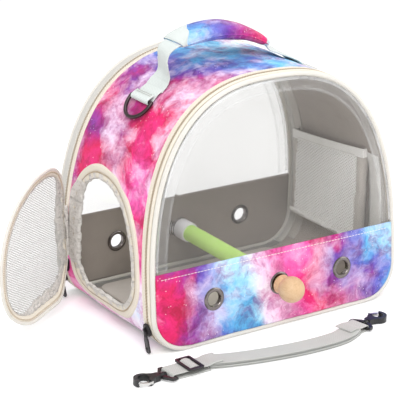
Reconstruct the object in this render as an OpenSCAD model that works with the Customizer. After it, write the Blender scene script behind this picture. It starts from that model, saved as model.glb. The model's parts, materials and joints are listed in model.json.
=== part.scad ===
// Bird travel carrier: an arched fabric body with clear zipped end panels,
// a zipped mesh side door, a through perch, a grip handle and a shoulder strap.

/* [Body] */
// Width across the gusset
body_w = 300; // [260:1:340]
// Depth at the base
body_d = 185; // [165:1:220]
// Height to the crown of the arch
body_h = 255; // [235:1:290]
// Radius of the two lower corners
corner_r = 39; // [30:1:48]
// Height at which the straight sides turn into the arch
side_h = 53; // [50:1:75]
// Roundness of the arch, 2 is an ellipse
arch_n = 2.55; // [2.4:0.05:3]
// Backward lean of the front panel in degrees
front_lean = 5.5; // [3:0.5:8]
// Forward lean of the back panel in degrees
back_lean = 0.5; // [0:0.5:4]
// Thickness of the printed outer fabric
shell_t = 1.8; // [1.2:0.1:2.6]
// Thickness of the lining fabric
lining_t = 1.2; // [0.8:0.1:2]
// Thickness of the floor board
floor_t = 3; // [2:0.5:5]

/* [End panels] */
// Radius of the piping round each end panel
piping_r = 2.4; // [1.8:0.1:3]
// Extra width of the edge strip behind the back zipper
back_border = 6; // [0:0.5:7]
// Length of the pulls of the end zippers
pull_l = 24; // [18:0.5:25]
// Width of one zipper tape half
tape_w = 3.6; // [3:0.2:5]
// Width of the body side tape and its binding
body_tape_w = 6; // [4:0.2:7]
// Width of the closed zipper coil
coil_w = 2.2; // [1.8:0.2:3]
// Height of the printed band of an end panel
band_h = 80; // [70:1:100]
// Thickness of the clear window sheet
window_t = 0.7; // [0.5:0.1:1.2]
// Fabric thickness of the printed band
band_t = 1.2; // [0.8:0.1:2]
// Inner radius of a grommet
grommet_r = 7.5; // [6:0.25:9]
// Flange radius of a grommet
grommet_flange_r = 11.5; // [10.5:0.25:13]
// Distance between grommets
grommet_gap = 79; // [60:1:90]

/* [Perch] */
// Height of the perch axis above the ground
perch_z = 44.5; // [40:0.5:52]
// Radius of the perch rod
perch_r = 9; // [7:0.5:10]
// Radius of the cap on the rear end of the rod
cap_r = 10.75; // [10.5:0.25:12]
// Length of the rear cap
cap_len = 19; // [12:1:28]
// Radius of the turned knob's ball
knob_r = 13.2; // [11:0.2:15]
// Radius of the knob's collar
collar_r = 9.8; // [8:0.2:11]
// Length of the knob's collar
collar_len = 6; // [4:0.5:8]
// Radius of the bolt that joins knob and rod
bolt_r = 3; // [2.5:0.25:4]

/* [Side door] */
// Depth position of the door's rear edge
door_rear = 65; // [58:1:67]
// Depth position of the door's front edge
door_front = -66; // [-67:1:-55]
// Height of the door's top
door_top = 158; // [140:1:170]
// Height of the door's bottom
door_bottom = 17; // [14:1:30]
// Width of the binding round the opening
rim_w = 13; // [10:0.5:15]
// Width of the frame round the door
door_frame_w = 16; // [12:0.5:18]
// Width of the ribbed strips along the hinge edge
hinge_strip_w = 18; // [14:0.5:20]
// How far the door's frame lies in front of the wrap
door_off = 1.2; // [1:0.1:2]
// Angle at which the door stands open
door_open = 58; // [20:1:80]

/* [Mesh pocket] */
// Distance of the pocket net from the outside of the right wall
pocket_depth = 18.5; // [17.5:0.5:30]
// Lower edge of the pocket
pocket_z0 = 46; // [40:1:50]
// Height of the pocket net
pocket_h = 86; // [60:1:90]
// Front edge of the pocket
pocket_y0 = -49; // [-55:1:-40]
// Length of the pocket along the wall
pocket_l = 117; // [90:1:120]
// Rise of the pocket's mouth towards the front
pocket_rise = 10; // [0:1:12]
// Width of the elastic binding at the pocket's mouth
pocket_binding_w = 9; // [6:0.5:10]

/* [Handle and rings] */
// Width of the padded grip
grip_w = 38; // [32:1:42]
// Thickness of the padded grip
grip_t = 9; // [7:0.5:12]
// Distance of the handle in front of the crown's middle
handle_forward = 3.34; // [0:0.02:8]
// Width of the webbing of handle and ring tabs
handle_web_w = 31; // [26:1:31]
// Width of the shoulder strap
web_w = 20; // [16:1:21]
// Thickness of one layer of webbing
web_t = 1.4; // [1:0.1:1.8]
// Wire radius of a ring
ring_wire = 1.9; // [1.5:0.1:2.2]
// Clear width inside a ring
ring_in = 32; // [32:0.5:36]
// Drop of a ring from its bar to its bow
ring_drop = 21; // [20:0.5:25]

/* [Shoulder strap] */
// Layers in the folded strap
strap_layers = 4; // [2:2:4]
// Clear width of a hook's webbing slot
slot_in = 21.5; // [20:0.5:26]
// Bar thickness of the plastic fittings
bar_t = 3; // [2.4:0.2:4]
// Thickness of the hook bodies
hook_t = 6; // [5:0.5:8]

/* [Hidden] */
$fn = 40;
// Clearance between parts that move against each other
gap = 0.4;
// Seam gap between layers that are sewn together
seam = 0.05;
half_w = body_w / 2;
pocket_x = half_w - pocket_depth;
arch_b = body_h - side_h;
// Height below which the wrap is base cloth
base_cut = 4;
// Depths behind an end plane
welt_back = 2 * piping_r - 2;
tape_d0 = welt_back + 0.2;
tape_d1 = tape_d0 + tape_w;
coil_d0 = tape_d1 + gap;
coil_d1 = coil_d0 + coil_w;
body_tape_d1 = coil_d1 + body_tape_w;
lining_d0 = coil_d1;
flange_t = 1.2;
wall_in = shell_t + lining_t;
floor_z = wall_in + seam;
// Depth at which the handle crosses the crown
crown_y = (body_h * tan(front_lean) - body_h * tan(back_lean)) / 2 - handle_forward;
steps = 24;
// Extra depth of the zipper at an end
function border(s) = s < 0 ? 0 : back_border;

// Lean of the front (-1) or back (1) panel
function lean(s) = s < 0 ? front_lean : back_lean;
// Point on the arch at an angle, moved inward by t
function arch_point(a, t) =
    let (
        k = pow(pow(abs(cos(a)) / half_w, arch_n)
            + pow(abs(sin(a)) / arch_b, arch_n), -1 / arch_n),
        x = k * cos(a),
        z = k * sin(a),
        gx = sign(x) * pow(abs(x) / half_w, arch_n - 1) / half_w,
        gz = pow(abs(z) / arch_b, arch_n - 1) / arch_b,
        g = norm([gx, gz])
    ) [x - t * gx / g, side_h + z - t * gz / g];
// Point on a lower corner, cx is its centre
function corner_point(cx, a, t) =
    [cx + (corner_r - t) * cos(a), corner_r + (corner_r - t) * sin(a)];
// Closed outline of the body seen from the front, moved inward by t
function arch(t) = concat(
    [for (i = [0:6]) corner_point(half_w - corner_r, -90 + 15 * i, t)],
    [for (i = [0:2 * steps]) arch_point(180 * i / (2 * steps), t)],
    [for (i = [0:6]) corner_point(corner_r - half_w, 180 + 15 * i, t)]);
// Half width of the body at a height above the straight sides
function arch_x(z) = z <= side_h ? half_w
    : half_w * pow(1 - pow((z - side_h) / arch_b, arch_n), 1 / arch_n);
// Height of the arch at a distance from the centre plane
function arch_z(x) =
    side_h + arch_b * pow(1 - pow(abs(x) / half_w, arch_n), 1 / arch_n);
// A quarter of an oval
function quarter(cy, cz, ry, rz, a) =
    [for (i = [0:8]) [cy + ry * cos(a + i * 11.25), cz + rz * sin(a + i * 11.25)]];
// Outline of the side door in depth and height, moved inward by t
function door_outline(t) = concat(
    quarter(door_rear - 44, door_top - 44, 44 - t, 44 - t, 0),
    quarter(door_rear - 50, door_bottom + 48, door_rear - 50 - door_front - t,
        door_top - door_bottom - 48 - t, 90),
    quarter(door_front + 46, door_bottom + 45, 46 - t, 45 - t, 180),
    quarter(door_rear - 30, door_bottom + 30, 30 - t, 30 - t, 270));

// Frame of an end panel: x across, y depth behind the panel, z up its slope
module panel_frame(s) {
    translate([0, s * body_d / 2, 0]) rotate([s * lean(s), 0, 0]) {
        if (s > 0) mirror([0, 1, 0]) children();
        else children();
    }
}

// Space between two depths behind an end panel's plane
module slab(s, d0, d1) {
    panel_frame(s) translate([-body_w, d0, -60])
        cube([2 * body_w, d1 - d0, body_h + 160]);
}

// Everything inside the outline moved inward by t
module solid_arch(t) {
    translate([0, body_d, 0]) rotate([90, 0, 0])
        linear_extrude(2 * body_d) polygon(arch(t));
}

// Wall between two inward offsets of the outline
module wall(t0, t1) {
    n = len(arch(0));
    translate([0, body_d, 0]) rotate([90, 0, 0]) linear_extrude(2 * body_d)
        polygon(concat(arch(t0), arch(t1)),
            paths = [[for (i = [0:n - 1]) i], [for (i = [0:n - 1]) n + i]]);
}

// Space between the two end panels, f and b behind their planes
module between(f, b) {
    y0 = -body_d / 2 + f / cos(front_lean);
    y1 = body_d / 2 - b / cos(back_lean);
    h = body_h + 20;
    translate([-body_w, 0, 0]) rotate([90, 0, 90]) linear_extrude(2 * body_w)
        polygon([[y0 - 20 * tan(front_lean), -20], [y1 + 20 * tan(back_lean), -20],
            [y1 - h * tan(back_lean), h], [y0 + h * tan(front_lean), h]]);
}

// Prism through the left wall with the door's outline
module door_prism(t) {
    translate([-half_w - 12, 0, 0]) rotate([90, 0, 90])
        linear_extrude(60) polygon(door_outline(t));
}

// Half space above a height
module above(z) {
    translate([-body_w, -body_d, z]) cube([2 * body_w, 2 * body_d, 2 * body_h]);
}

// Strip of cloth along a path, w gives its width direction at each point
module ribbon(path, w, width, thick) {
    n = len(path);
    tan_at = [for (i = [0:n - 1]) let (
        a = path[max(i - 1, 0)], b = path[min(i + 1, n - 1)]) (b - a) / norm(b - a)];
    rings = [for (i = [0:n - 1]) let (
        u = w[i] / norm(w[i]), m = cross(tan_at[i], u), v = m / norm(m),
        p = path[i], hu = u * width / 2, hv = v * thick / 2)
        [p - hu - hv, p + hu - hv, p + hu + hv, p - hu + hv]];
    pts = [for (r = rings) for (p = r) p];
    sides = [for (i = [0:n - 2]) for (k = [0:3]) for (q = [0:1])
        let (a = 4 * i + k, b = 4 * i + (k + 1) % 4)
        q == 0 ? [a, b + 4, b] : [a, a + 4, b + 4]];
    last = 4 * (n - 1);
    polyhedron(pts, concat([[1, 2, 3], [0, 1, 3]], sides,
        [[last + 2, last + 1, last], [last + 3, last + 2, last]]));
}

// Round cord along a closed flat outline in an end panel's plane
module piping_loop(s) {
    path = arch(piping_r + 0.1);
    n = len(path);
    m = 10;
    centre_d = piping_r - 2;
    stretch = 1 / cos(lean(s));
    rings = [for (i = [0:n - 1]) let (
        a = path[(i + n - 1) % n], b = path[(i + 1) % n],
        t = (b - a) / norm(b - a), out = [t[1], -t[0]])
        [for (k = [0:m - 1]) let (c = piping_r * cos(360 * k / m), d = piping_r * sin(360 * k / m))
            [path[i][0] + c * out[0], centre_d + d, (path[i][1] + c * out[1]) * stretch]]];
    pts = [for (r = rings) for (p = r) p];
    faces = [for (i = [0:n - 1]) for (k = [0:m - 1]) for (q = [0:1])
        let (a = i * m + k, b = i * m + (k + 1) % m,
            c = ((i + 1) % n) * m + (k + 1) % m, d = ((i + 1) % n) * m + k)
        q == 0 ? [a, c, b] : [a, d, c]];
    panel_frame(s) polyhedron(pts, faces);
}

// Printed outer fabric of the arched wrap
module gusset_print() {
    color("hotpink") difference() {
        intersection() {
            wall(0, shell_t);
            between(body_tape_d1 + seam, body_tape_d1 + seam + back_border);
            above(base_cut + seam);
        }
        door_prism(-seam);
    }
}

// Grey inner fabric of the wrap
module gusset_lining() {
    color("dimgray") difference() {
        intersection() {
            wall(shell_t + seam, wall_in);
            between(lining_d0, lining_d0 + back_border);
        }
        difference() {
            door_prism(rim_w - 1);
            hinge_side(1);
        }
    }
}

// Base cloth under the wrap
module base_panel() {
    color("gray") difference() {
        intersection() {
            wall(0, shell_t);
            between(tape_d0, tape_d0);
        }
        above(base_cut);
    }
}

// Stiff board that keeps the floor flat
module floor_board() {
    hx = half_w - corner_r;
    y0 = -body_d / 2 + lining_d0 + 2;
    y1 = body_d / 2 - lining_d0 - back_border - 1;
    r = 12;
    color("silver") translate([0, 0, floor_z]) linear_extrude(floor_t) union() {
        translate([-hx + r, y0]) square([2 * hx - 2 * r, y1 - y0]);
        translate([-hx, y0 + r]) square([2 * hx, y1 - y0 - 2 * r]);
        for (x = [-hx + r, hx - r]) for (y = [y0 + r, y1 - r])
            translate([x, y]) circle(r);
    }
}

// Body half of the zipper tape round one end
module body_tape(s) {
    intersection() {
        wall(0, shell_t);
        slab(s, coil_d1 + seam + border(s), body_tape_d1 + border(s));
        above(base_cut + seam);
    }
}

module front_tape() { color("wheat") body_tape(-1); }
module back_tape() { color("wheat") body_tape(1); }

// Zipper coil, a little proud of its tapes
module coil(s) {
    intersection() {
        wall(-0.5, shell_t - 0.6);
        slab(s, coil_d0 + border(s), coil_d1 + border(s));
        above(base_cut + seam);
    }
}

module front_coil() { color("tan") coil(-1); }
module back_coil() { color("tan") coil(1); }

// Space along the hinge edge of the opening, set in from the outline by t
module hinge_side(t) {
    intersection() {
        door_prism(t);
        translate([-half_w - 20, door_rear - hinge_strip_w, door_bottom + 27])
            cube([60, hinge_strip_w, door_top - door_bottom - 62]);
    }
}

// Binding round the side opening
module opening_rim() {
    color("wheat") difference() {
        intersection() {
            wall(-0.6, shell_t);
            door_prism(0);
        }
        door_prism(rim_w);
        hinge_side(2 - seam);
    }
}

// Ribbed strip on the rear edge of the opening
module opening_strip() {
    color("lightgray") intersection() {
        wall(-0.4, shell_t - 0.2);
        hinge_side(2);
    }
}

// Side view of the pocket's mouth, its edge rises by pocket_rise to the front
module pocket_side(x0, x1, y0, y1, z0, z1) {
    translate([x0, 0, 0]) rotate([90, 0, 90]) linear_extrude(x1 - x0)
        polygon([[y0, z0 + pocket_rise * pocket_mouth(y0, z0)], [y1, z0 + pocket_rise * pocket_mouth(y1, z0)],
            [y1, z1 + pocket_rise * pocket_mouth(y1, z1)], [y0, z1 + pocket_rise * pocket_mouth(y0, z1)]]);
}
function pocket_mouth(y, z) = z < pocket_z0 + 2 ? 0 : (pocket_y0 + pocket_l - y) / pocket_l;

// Net of the wall pocket, closed at its foot and sides
module pocket_net() {
    x = pocket_x;
    z1 = pocket_z0 + pocket_h;
    y1 = pocket_y0 + pocket_l;
    color("whitesmoke") intersection() {
        solid_arch(wall_in + seam);
        union() {
            pocket_side(x, x + 1, pocket_y0, y1, pocket_z0, z1);
            translate([x, pocket_y0, pocket_z0]) cube([30, pocket_l, 1]);
            pocket_side(x, x + 30, pocket_y0, pocket_y0 + 1, pocket_z0, z1);
            pocket_side(x, x + 30, y1 - 1, y1, pocket_z0, z1);
        }
    }
}

// Elastic binding along the pocket's mouth
module pocket_binding() {
    z1 = pocket_z0 + pocket_h + seam;
    y1 = pocket_y0 + pocket_l;
    color("gray") intersection() {
        solid_arch(wall_in + seam);
        difference() {
            pocket_side(pocket_x - 0.6, pocket_x + 30, pocket_y0 - 1, y1 + 1,
                z1, z1 + pocket_binding_w);
            pocket_side(pocket_x + 1.6, pocket_x + 40, pocket_y0 + 1, y1 - 1,
                z1 - 1, z1 + pocket_binding_w + 2);
        }
    }
}

// Panel half of the zipper tape
module panel_tape(s) {
    intersection() {
        wall(0, shell_t);
        slab(s, tape_d0, tape_d1 + border(s));
        above(base_cut + gap);
    }
}

module front_panel_tape() { color("wheat") panel_tape(-1); }
module back_panel_tape() { color("wheat") panel_tape(1); }

module front_piping() { color("gainsboro") piping_loop(-1); }
module back_piping() { color("gainsboro") piping_loop(1); }

// Part of an end panel between two depths and two heights on its slope
module panel_sheet(s, d0, d1, h0, h1) {
    intersection() {
        solid_arch(2 * piping_r + 0.2);
        panel_frame(s) translate([-body_w, d0, h0])
            cube([2 * body_w, d1 - d0, h1 - h0]);
    }
}

// Clear window, its foot lies behind the band
module window(s) {
    panel_sheet(s, 0, window_t, band_h - 8, body_h + 20);
}

module front_window() { color("aliceblue", 0.4) window(-1); }
module back_window() { color("aliceblue", 0.4) window(1); }

// Places something at each grommet, axis pointing inward
module at_grommets(s) {
    panel_frame(s) for (i = [-1:1])
        translate([i * grommet_gap, 0, perch_z / cos(lean(s))])
            rotate([-90, 0, 0]) children();
}

// Printed band across the foot of an end panel
module band(s) {
    difference() {
        panel_sheet(s, -band_t - seam, -seam, 0, band_h);
        at_grommets(s) translate([0, 0, -5]) cylinder(h = 10, r = grommet_r + 1.9);
    }
}

module front_band() { color("deeppink") band(-1); }
module back_band() { color("deeppink") band(1); }

// Grey lining behind the band
module band_lining(s) {
    difference() {
        panel_sheet(s, window_t + seam, window_t + seam + 1, 0, band_h);
        at_grommets(s) translate([0, 0, -5]) cylinder(h = 10, r = grommet_r + 1.9);
    }
}

module front_band_lining() { color("gray") band_lining(-1); }
module back_band_lining() { color("gray") band_lining(1); }

// Two part eyelet with rolled flanges
module grommet() {
    a = -band_t - seam - flange_t;
    b = inner_flange;
    r = grommet_r;
    f = grommet_flange_r;
    rotate_extrude() polygon([[r, a + 0.5], [r + 0.5, a], [f - 1.2, a],
        [f, a + 0.7], [f, a + flange_t - seam], [r + 1.8, a + flange_t - seam],
        [r + 1.8, b - flange_t + seam], [f - 0.4, b - flange_t + seam],
        [f - 0.4, b - 0.5], [f - 1.4, b], [r + 0.5, b], [r, b - 0.5]]);
}

module front_grommets() { color("dimgray") at_grommets(-1) grommet(); }
module back_grommets() { color("dimgray") at_grommets(1) grommet(); }

// Hinge line of the side door at mid height
door_hx = -half_w - door_off - 1.8;
door_hy = door_rear + 0.8;
door_hz = 60;
door_axis = [0.02, 0.1, 1];
// Swings what is drawn closed to where the door stands
module door_pose() {
    translate([door_hx, door_hy, door_hz]) rotate(a = -door_open, v = door_axis)
        translate([-door_hx, -door_hy, -door_hz]) children();
}

// Rolled binding along the hinge line, it all but touches the opening's rim
module door_roll() {
    translate([door_hx, door_hy, door_hz])
        rotate(a = acos(1 / norm(door_axis)), v = cross([0, 0, 1], door_axis))
            translate([0, 0, -8]) cylinder(h = 52, r = door_off + 0.85);
}

// Bound frame with the door's half of the zipper
module door_frame() {
    color("wheat") door_pose() union() {
        door_roll();
        difference() {
            intersection() {
                wall(-door_off - 1.5, -door_off);
                door_prism(0.5);
            }
            door_prism(door_frame_w);
            hinge_side(1.5 - seam);
        }
    }
}

// Fine net in the door
module door_mesh() {
    color("whitesmoke") door_pose() difference() {
        intersection() {
            wall(-door_off - 1.1, -door_off - 0.4);
            door_prism(door_frame_w + seam);
        }
        translate([0, -seam, 0]) hinge_side(1);
    }
}

// Ribbed strip along the door's hinge edge
module door_strip() {
    color("lightgray") door_pose() intersection() {
        wall(-door_off - 1.3, -door_off - 0.2);
        hinge_side(1.5);
    }
}

// Zipper slider on its coil: x along the track, z away from the fabric
module slider() {
    difference() {
        union() {
            linear_extrude(3.2) polygon([[-6.5, -2.2], [-3, -3.9], [4.5, -3.9],
                [6.5, -2.6], [6.5, 2.6], [4.5, 3.9], [-3, 3.9], [-6.5, 2.2]]);
            translate([-3.6, -1, 0]) cube([7.2, 2, 5.8]);
        }
        translate([0, 2, 4.4]) rotate([90, 0, 0]) cylinder(h = 4, r = 0.95);
    }
}

// Pull that hangs from the slider's bridge
module pull(l) {
    rotate([90, 0, 0]) translate([0, 0, -1.9]) cylinder(h = 3.8, r = 0.9);
    for (y = [-1.9, 1.1]) translate([0, y, -0.9]) cube([7, 0.8, 1.8]);
    translate([6, 0, -0.9]) linear_extrude(1.8) difference() {
        polygon([[0, -1.9], [3, -3.2], [l - 8, -3.4], [l - 6, -2],
            [l - 6, 2], [l - 8, 3.4], [3, 3.2], [0, 1.9]]);
        translate([l - 11, 0]) circle(1.6);
    }
}

// Front slider sits low on the left corner
slider_a = 199;
slider_c = corner_point(corner_r - half_w, slider_a, -0.5);
coil_mid = (coil_d0 + coil_d1) / 2;
module front_slider_frame() {
    y = -body_d / 2 + slider_c[1] * tan(front_lean) + coil_mid / cos(front_lean);
    translate([slider_c[0], y, slider_c[1]]) rotate([0, 90 - slider_a, 0])
        rotate([0, 0, 180]) translate([0, 0, gap]) children();
}

module front_slider() { color("dimgray") front_slider_frame() slider(); }
module front_pull() {
    color("dimgray") front_slider_frame() translate([0, 0, 4.4])
        rotate([0, -8, 0]) pull(pull_l);
}

// Back slider at the same corner of the back panel
module back_slider_frame() {
    y = body_d / 2 - slider_c[1] * tan(back_lean) - (coil_mid + back_border) / cos(back_lean);
    translate([slider_c[0], y, slider_c[1]]) rotate([0, 90 - slider_a, 0])
        rotate([0, 0, 180]) translate([0, 0, gap]) children();
}

module back_slider() { color("dimgray") back_slider_frame() slider(); }
module back_pull() {
    color("dimgray") back_slider_frame() translate([0, 0, 4.4])
        rotate([0, -8, 0]) pull(pull_l);
}

// Door slider at the foot of the door's hinge edge
module door_slider_frame() {
    z = door_bottom + 23;
    translate([-arch_x(z) - 0.1, door_rear + 4.6, z])
        rotate([0, -90, 0]) children();
}

module door_slider() { color("black") door_slider_frame() slider(); }
module door_pull() {
    color("black") door_slider_frame() translate([0, 0, 4.4])
        rotate([0, -164, 0]) pull(18);
}

// Handle line from the left foot over the grip to the right foot
foot_x = body_w * 0.26;
foot_z = arch_z(foot_x) + web_t / 2 + 0.3;
handle_line = [[-foot_x - 12, 0, arch_z(foot_x + 12) + web_t / 2 + 0.25],
    [-foot_x - 3, 0, foot_z + 2.6], [-foot_x - 0.6, 0, foot_z + 9],
    [-foot_x - 2, 0, foot_z + 21], [-foot_x, 0, foot_z + 30],
    [-foot_x + 10, 0, foot_z + 36.5], [-foot_x + 24, 0, foot_z + 40.5],
    [-36, 0, foot_z + 43], [-20, 0, foot_z + 43.6], [-5, 0, foot_z + 42],
    [10, 0, foot_z + 38.6], [24, 0, foot_z + 33], [36, 0, foot_z + 26.4],
    [46, 0, foot_z + 20], [53, 0, foot_z + 15.4], [60, 0, foot_z + 11.6],
    [67, 0, foot_z + 8], [foot_x - 4, 0, foot_z + 4.2],
    [foot_x + 5, 0, arch_z(foot_x + 5) + web_t / 2 + 0.25]];
handle_turn = [0, 0.1, 0.27, 0.27, 0.2, 0];

// Whole line of webbing from one foot to the other
module handle_band() {
    translate([0, crown_y, 0]) ribbon(handle_line, [for (i = [0:len(handle_line) - 1])
        [i < 6 ? handle_turn[i] : 0, 1, 0]], handle_web_w, web_t);
}

// Space across the handle between two distances from the centre plane
module across(x0, x1) {
    translate([x0, -body_d, body_h - 60]) cube([x1 - x0, 2 * body_d, 140]);
}

// Webbing under the grip, it sways on its two folds
fold_left = -foot_x - 3.9;
fold_right = 56;
module handle_webbing() {
    color("lightsteelblue") intersection() {
        handle_band();
        across(fold_left + 0.15, fold_right - 0.15);
    }
}

// Ends of the handle's webbing that are sewn to the wrap
module handle_feet() {
    color("lightsteelblue") difference() {
        handle_band();
        across(fold_left - 0.15, fold_right + 0.15);
    }
}

// Padded grip, fuller in the middle and round at both ends
module handle_grip() {
    line = [for (i = [5:12]) handle_line[i]];
    n = len(line);
    m = 16;
    u = [for (i = [0:n - 1]) i / (n - 1)];
    rings = [for (i = [0:n - 1]) let (
        a = line[max(i - 1, 0)], b = line[min(i + 1, n - 1)],
        t = (b - a) / norm(b - a), up = [-t[2], 0, t[0]],
        f = 0.55 + 0.45 * pow(sin(180 * (0.08 + 0.84 * u[i])), 0.5),
        base = line[i] + up * (web_t / 2 + 0.1))
        [for (k = [0:m]) let (q = 180 * k / m)
            base + [0, 1, 0] * grip_w / 2 * f * sign(cos(q)) * pow(abs(cos(q)), 0.5)
                + up * (grip_t - web_t) * f * pow(sin(q), 0.5)]];
    pts = [for (r = rings) for (p = r) p];
    c = m + 1;
    faces = concat(
        [for (k = [1:m - 1]) [0, k, k + 1]],
        [for (i = [0:n - 2]) for (k = [0:m]) for (q = [0:1])
            let (a = i * c + k, b = i * c + (k + 1) % c)
            q == 0 ? [a, a + c, b + c] : [a, b + c, b]],
        [for (k = [1:m - 1]) [(n - 1) * c, (n - 1) * c + k + 1, (n - 1) * c + k]]);
    color("orchid") translate([0, crown_y, 0]) polyhedron(pts, faces);
}

// Outward normal of the arch at a distance from the centre plane
function slope_at(x) = let (d = (arch_z(x + 1) - arch_z(x - 1)) / 2, k = norm([1, d])) [-d / k, 1 / k];
// Point a height h above the left shoulder at the distance x
function shoulder(x, h) = let (m = slope_at(x)) [-x - m[0] * h, crown_y, arch_z(x) + m[1] * h];
// Tab from a handle foot down the shoulder to the ring's bar
tab_x0 = foot_x + 13;
tab_x1 = foot_x + 20;
bar_h = ring_wire + 0.08 + web_t + 0.4;
bar_at = shoulder(tab_x1 + 3, bar_h);
ring_lie = atan2(slope_at(tab_x1 + 10)[0], slope_at(tab_x1 + 10)[1]);

// Webbing tab with its eye round the ring's bar
module ring_tab() {
    n = 4;
    line = concat([for (i = [0:n]) shoulder(tab_x0 + (tab_x1 - tab_x0) * i / n,
        web_t / 2 + 0.3 + i * 0.3)]);
    r = ring_wire + 0.08;
    union() {
        ribbon(line, [for (i = [0:n]) [0, 1, 0]], handle_web_w, web_t);
        translate(bar_at) rotate([90, 0, 0]) translate([0, 0, -handle_web_w / 2])
            difference() {
                cylinder(h = handle_web_w, r = r + web_t);
                translate([0, 0, -1]) cylinder(h = handle_web_w + 2, r = r);
            }
    }
}

module ring_tab_left() { color("lightsteelblue") ring_tab(); }
module ring_tab_right() { color("lightsteelblue") mirror([1, 0, 0]) ring_tab(); }

// Flat bar with a round bow, like a letter D, lying on the shoulder
module d_ring() {
    r = ring_in / 2 + ring_wire;
    leg = ring_drop - r;
    translate(bar_at) rotate([0, -ring_lie, 0]) rotate([0, 0, 90]) {
        rotate([0, 90, 0]) translate([0, 0, -r]) cylinder(h = 2 * r, r = ring_wire);
        for (x = [-r, r]) {
            translate([x, 0, 0]) sphere(ring_wire);
            translate([x, 0, 0]) rotate([-90, 0, 0]) cylinder(h = leg, r = ring_wire);
        }
        translate([0, leg, 0]) rotate_extrude(angle = 180) translate([r, 0]) circle(ring_wire);
    }
}

module ring_left() { color("dimgray") d_ring(); }
module ring_right() { color("dimgray") mirror([1, 0, 0]) d_ring(); }

// Faces that the perch meets on its way through the grommets
front_face_y = -body_d / 2 + perch_z * tan(front_lean);
back_face_y = body_d / 2 - perch_z * tan(back_lean);
inner_flange = window_t + seam + 1 + flange_t;
outer_flange = band_t + seam + flange_t;
knob_y = front_face_y - outer_flange / cos(front_lean)
    - collar_r * tan(front_lean) - gap;
cap_y1 = back_face_y - inner_flange / cos(back_lean) - gap;
cap_y0 = cap_y1 - cap_len;

// Rough standing rod from the front grommet to the cap
module perch_rod() {
    color("mediumseagreen") difference() {
        translate([0, cap_y0 - seam, perch_z]) rotate([90, 0, 0])
            cylinder(h = cap_y0 - seam - front_face_y, r = perch_r);
        slab(-1, -20, inner_flange + seam);
        translate([0, front_face_y + 26, perch_z]) rotate([90, 0, 0])
            cylinder(h = 50, r = bolt_r + seam);
    }
}

// Turned cap that stops the rod against the back panel
module perch_cap() {
    color("white") difference() {
        translate([0, cap_y1, perch_z]) rotate([90, 0, 0])
            rotate_extrude() polygon([[0, 0], [cap_r - 1.2, 0], [cap_r, 1.2],
                [cap_r, cap_len - 1.5], [cap_r - 0.8, cap_len], [0, cap_len]]);
        slab(1, -20, inner_flange + gap);
    }
}

// Bolt from the rod through the grommet into the knob
module perch_bolt() {
    color("silver") translate([0, front_face_y + 25, perch_z]) rotate([90, 0, 0])
        cylinder(h = 25 + front_face_y - knob_y + collar_len + 8, r = bolt_r);
}

// Turned wooden knob that clamps the perch from outside
module perch_knob() {
    depth = collar_len + knob_r - 2;
    ball = [for (i = [0:12]) let (a = -52 + i * 142 / 12)
        [knob_r * cos(a), depth + knob_r * sin(a)]];
    color("burlywood") translate([0, knob_y, perch_z]) rotate([90, 0, 0])
        difference() {
            rotate_extrude() polygon(concat([[0, 0], [collar_r - 0.8, 0],
                [collar_r, 0.8], [collar_r - 0.6, collar_len - 1.5]], ball, [[0, depth + knob_r]]));
            translate([0, 0, -1]) cylinder(h = collar_len + 11, r = bolt_r + 0.05);
        }
}

// Folded strap on the ground, plan line of its middle
strap_plan = [[-114, -131], [-90, -139], [-62, -146], [-30, -151.5],
    [0, -154], [24, -153.5], [39, -150], [50, -145]];
layer_gap = web_t + 0.25;
function plan_dir(i) = let (n = len(strap_plan),
    a = strap_plan[max(i - 1, 0)], b = strap_plan[min(i + 1, n - 1)]) (b - a) / norm(b - a);
// Middle of the half turn above layer l
function turn_point(l, a) = let (
    n = len(strap_plan), e = l % 2 == 0 ? n - 1 : 0,
    d = plan_dir(e) * (l % 2 == 0 ? 1 : -1), r = layer_gap / 2,
    p = strap_plan[e] + d * r * cos(a))
    [p[0], p[1], web_t / 2 + (l + 0.5) * layer_gap + r * sin(a)];

// One layer over the other, turned at the ends
module strap_webbing() {
    n = len(strap_plan);
    path = [for (l = [0:strap_layers - 1]) each concat(
        [for (i = [0:n - 1]) let (p = strap_plan[l % 2 == 0 ? i : n - 1 - i])
            [p[0], p[1], web_t / 2 + l * layer_gap]],
        l < strap_layers - 1 ? [for (a = [-45, 0, 45]) turn_point(l, a)] : [])];
    w = [for (l = [0:strap_layers - 1]) each concat(
        [for (i = [0:n - 1]) let (d = plan_dir(l % 2 == 0 ? i : n - 1 - i)) [-d[1], d[0], 0]],
        l < strap_layers - 1 ? [for (a = [-45, 0, 45])
            let (d = plan_dir(l % 2 == 0 ? n - 1 : 0)) [-d[1], d[0], 0]] : [])];
    color("lightsteelblue") ribbon(path, w, web_w, web_t);
}

// Frames of the two hooks: origin on the webbing bar, x towards the hook
fit_z = bar_t / 2 + gap + web_t + 0.05;
hook_right_at = [63.5, -140.5, fit_z];
hook_right_turn = 12;
hook_left_at = [-158, -133.5, fit_z];
hook_left_turn = 180;
module right_end() {
    translate(hook_right_at) rotate([0, 0, hook_right_turn]) children();
}
module left_end() {
    translate(hook_left_at) rotate([0, 0, hook_left_turn]) children();
}

// Eye of webbing round a bar: a straight lower tail and an upper one along a line
module web_eye(l0, upper) {
    r = bar_t / 2 + gap;
    n = len(upper);
    translate([0, web_w / 2, 0]) rotate([90, 0, 0]) difference() {
        union() {
            cylinder(h = web_w, r = r + web_t);
            translate([-l0, -r - web_t, 0]) cube([l0, web_t, web_w]);
            linear_extrude(web_w) polygon(concat(
                [for (p = upper) p + [0, web_t / 2]],
                [for (i = [n - 1:-1:0]) upper[i] - [0, web_t / 2]]));
        }
        translate([0, 0, -1]) cylinder(h = web_w + 2, r = r);
        translate([-r - web_t - 1, -r, -1]) cube([r + web_t + 1, 2 * r, web_w + 2]);
    }
}
upper_z = bar_t / 2 + gap + web_t / 2;

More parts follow.
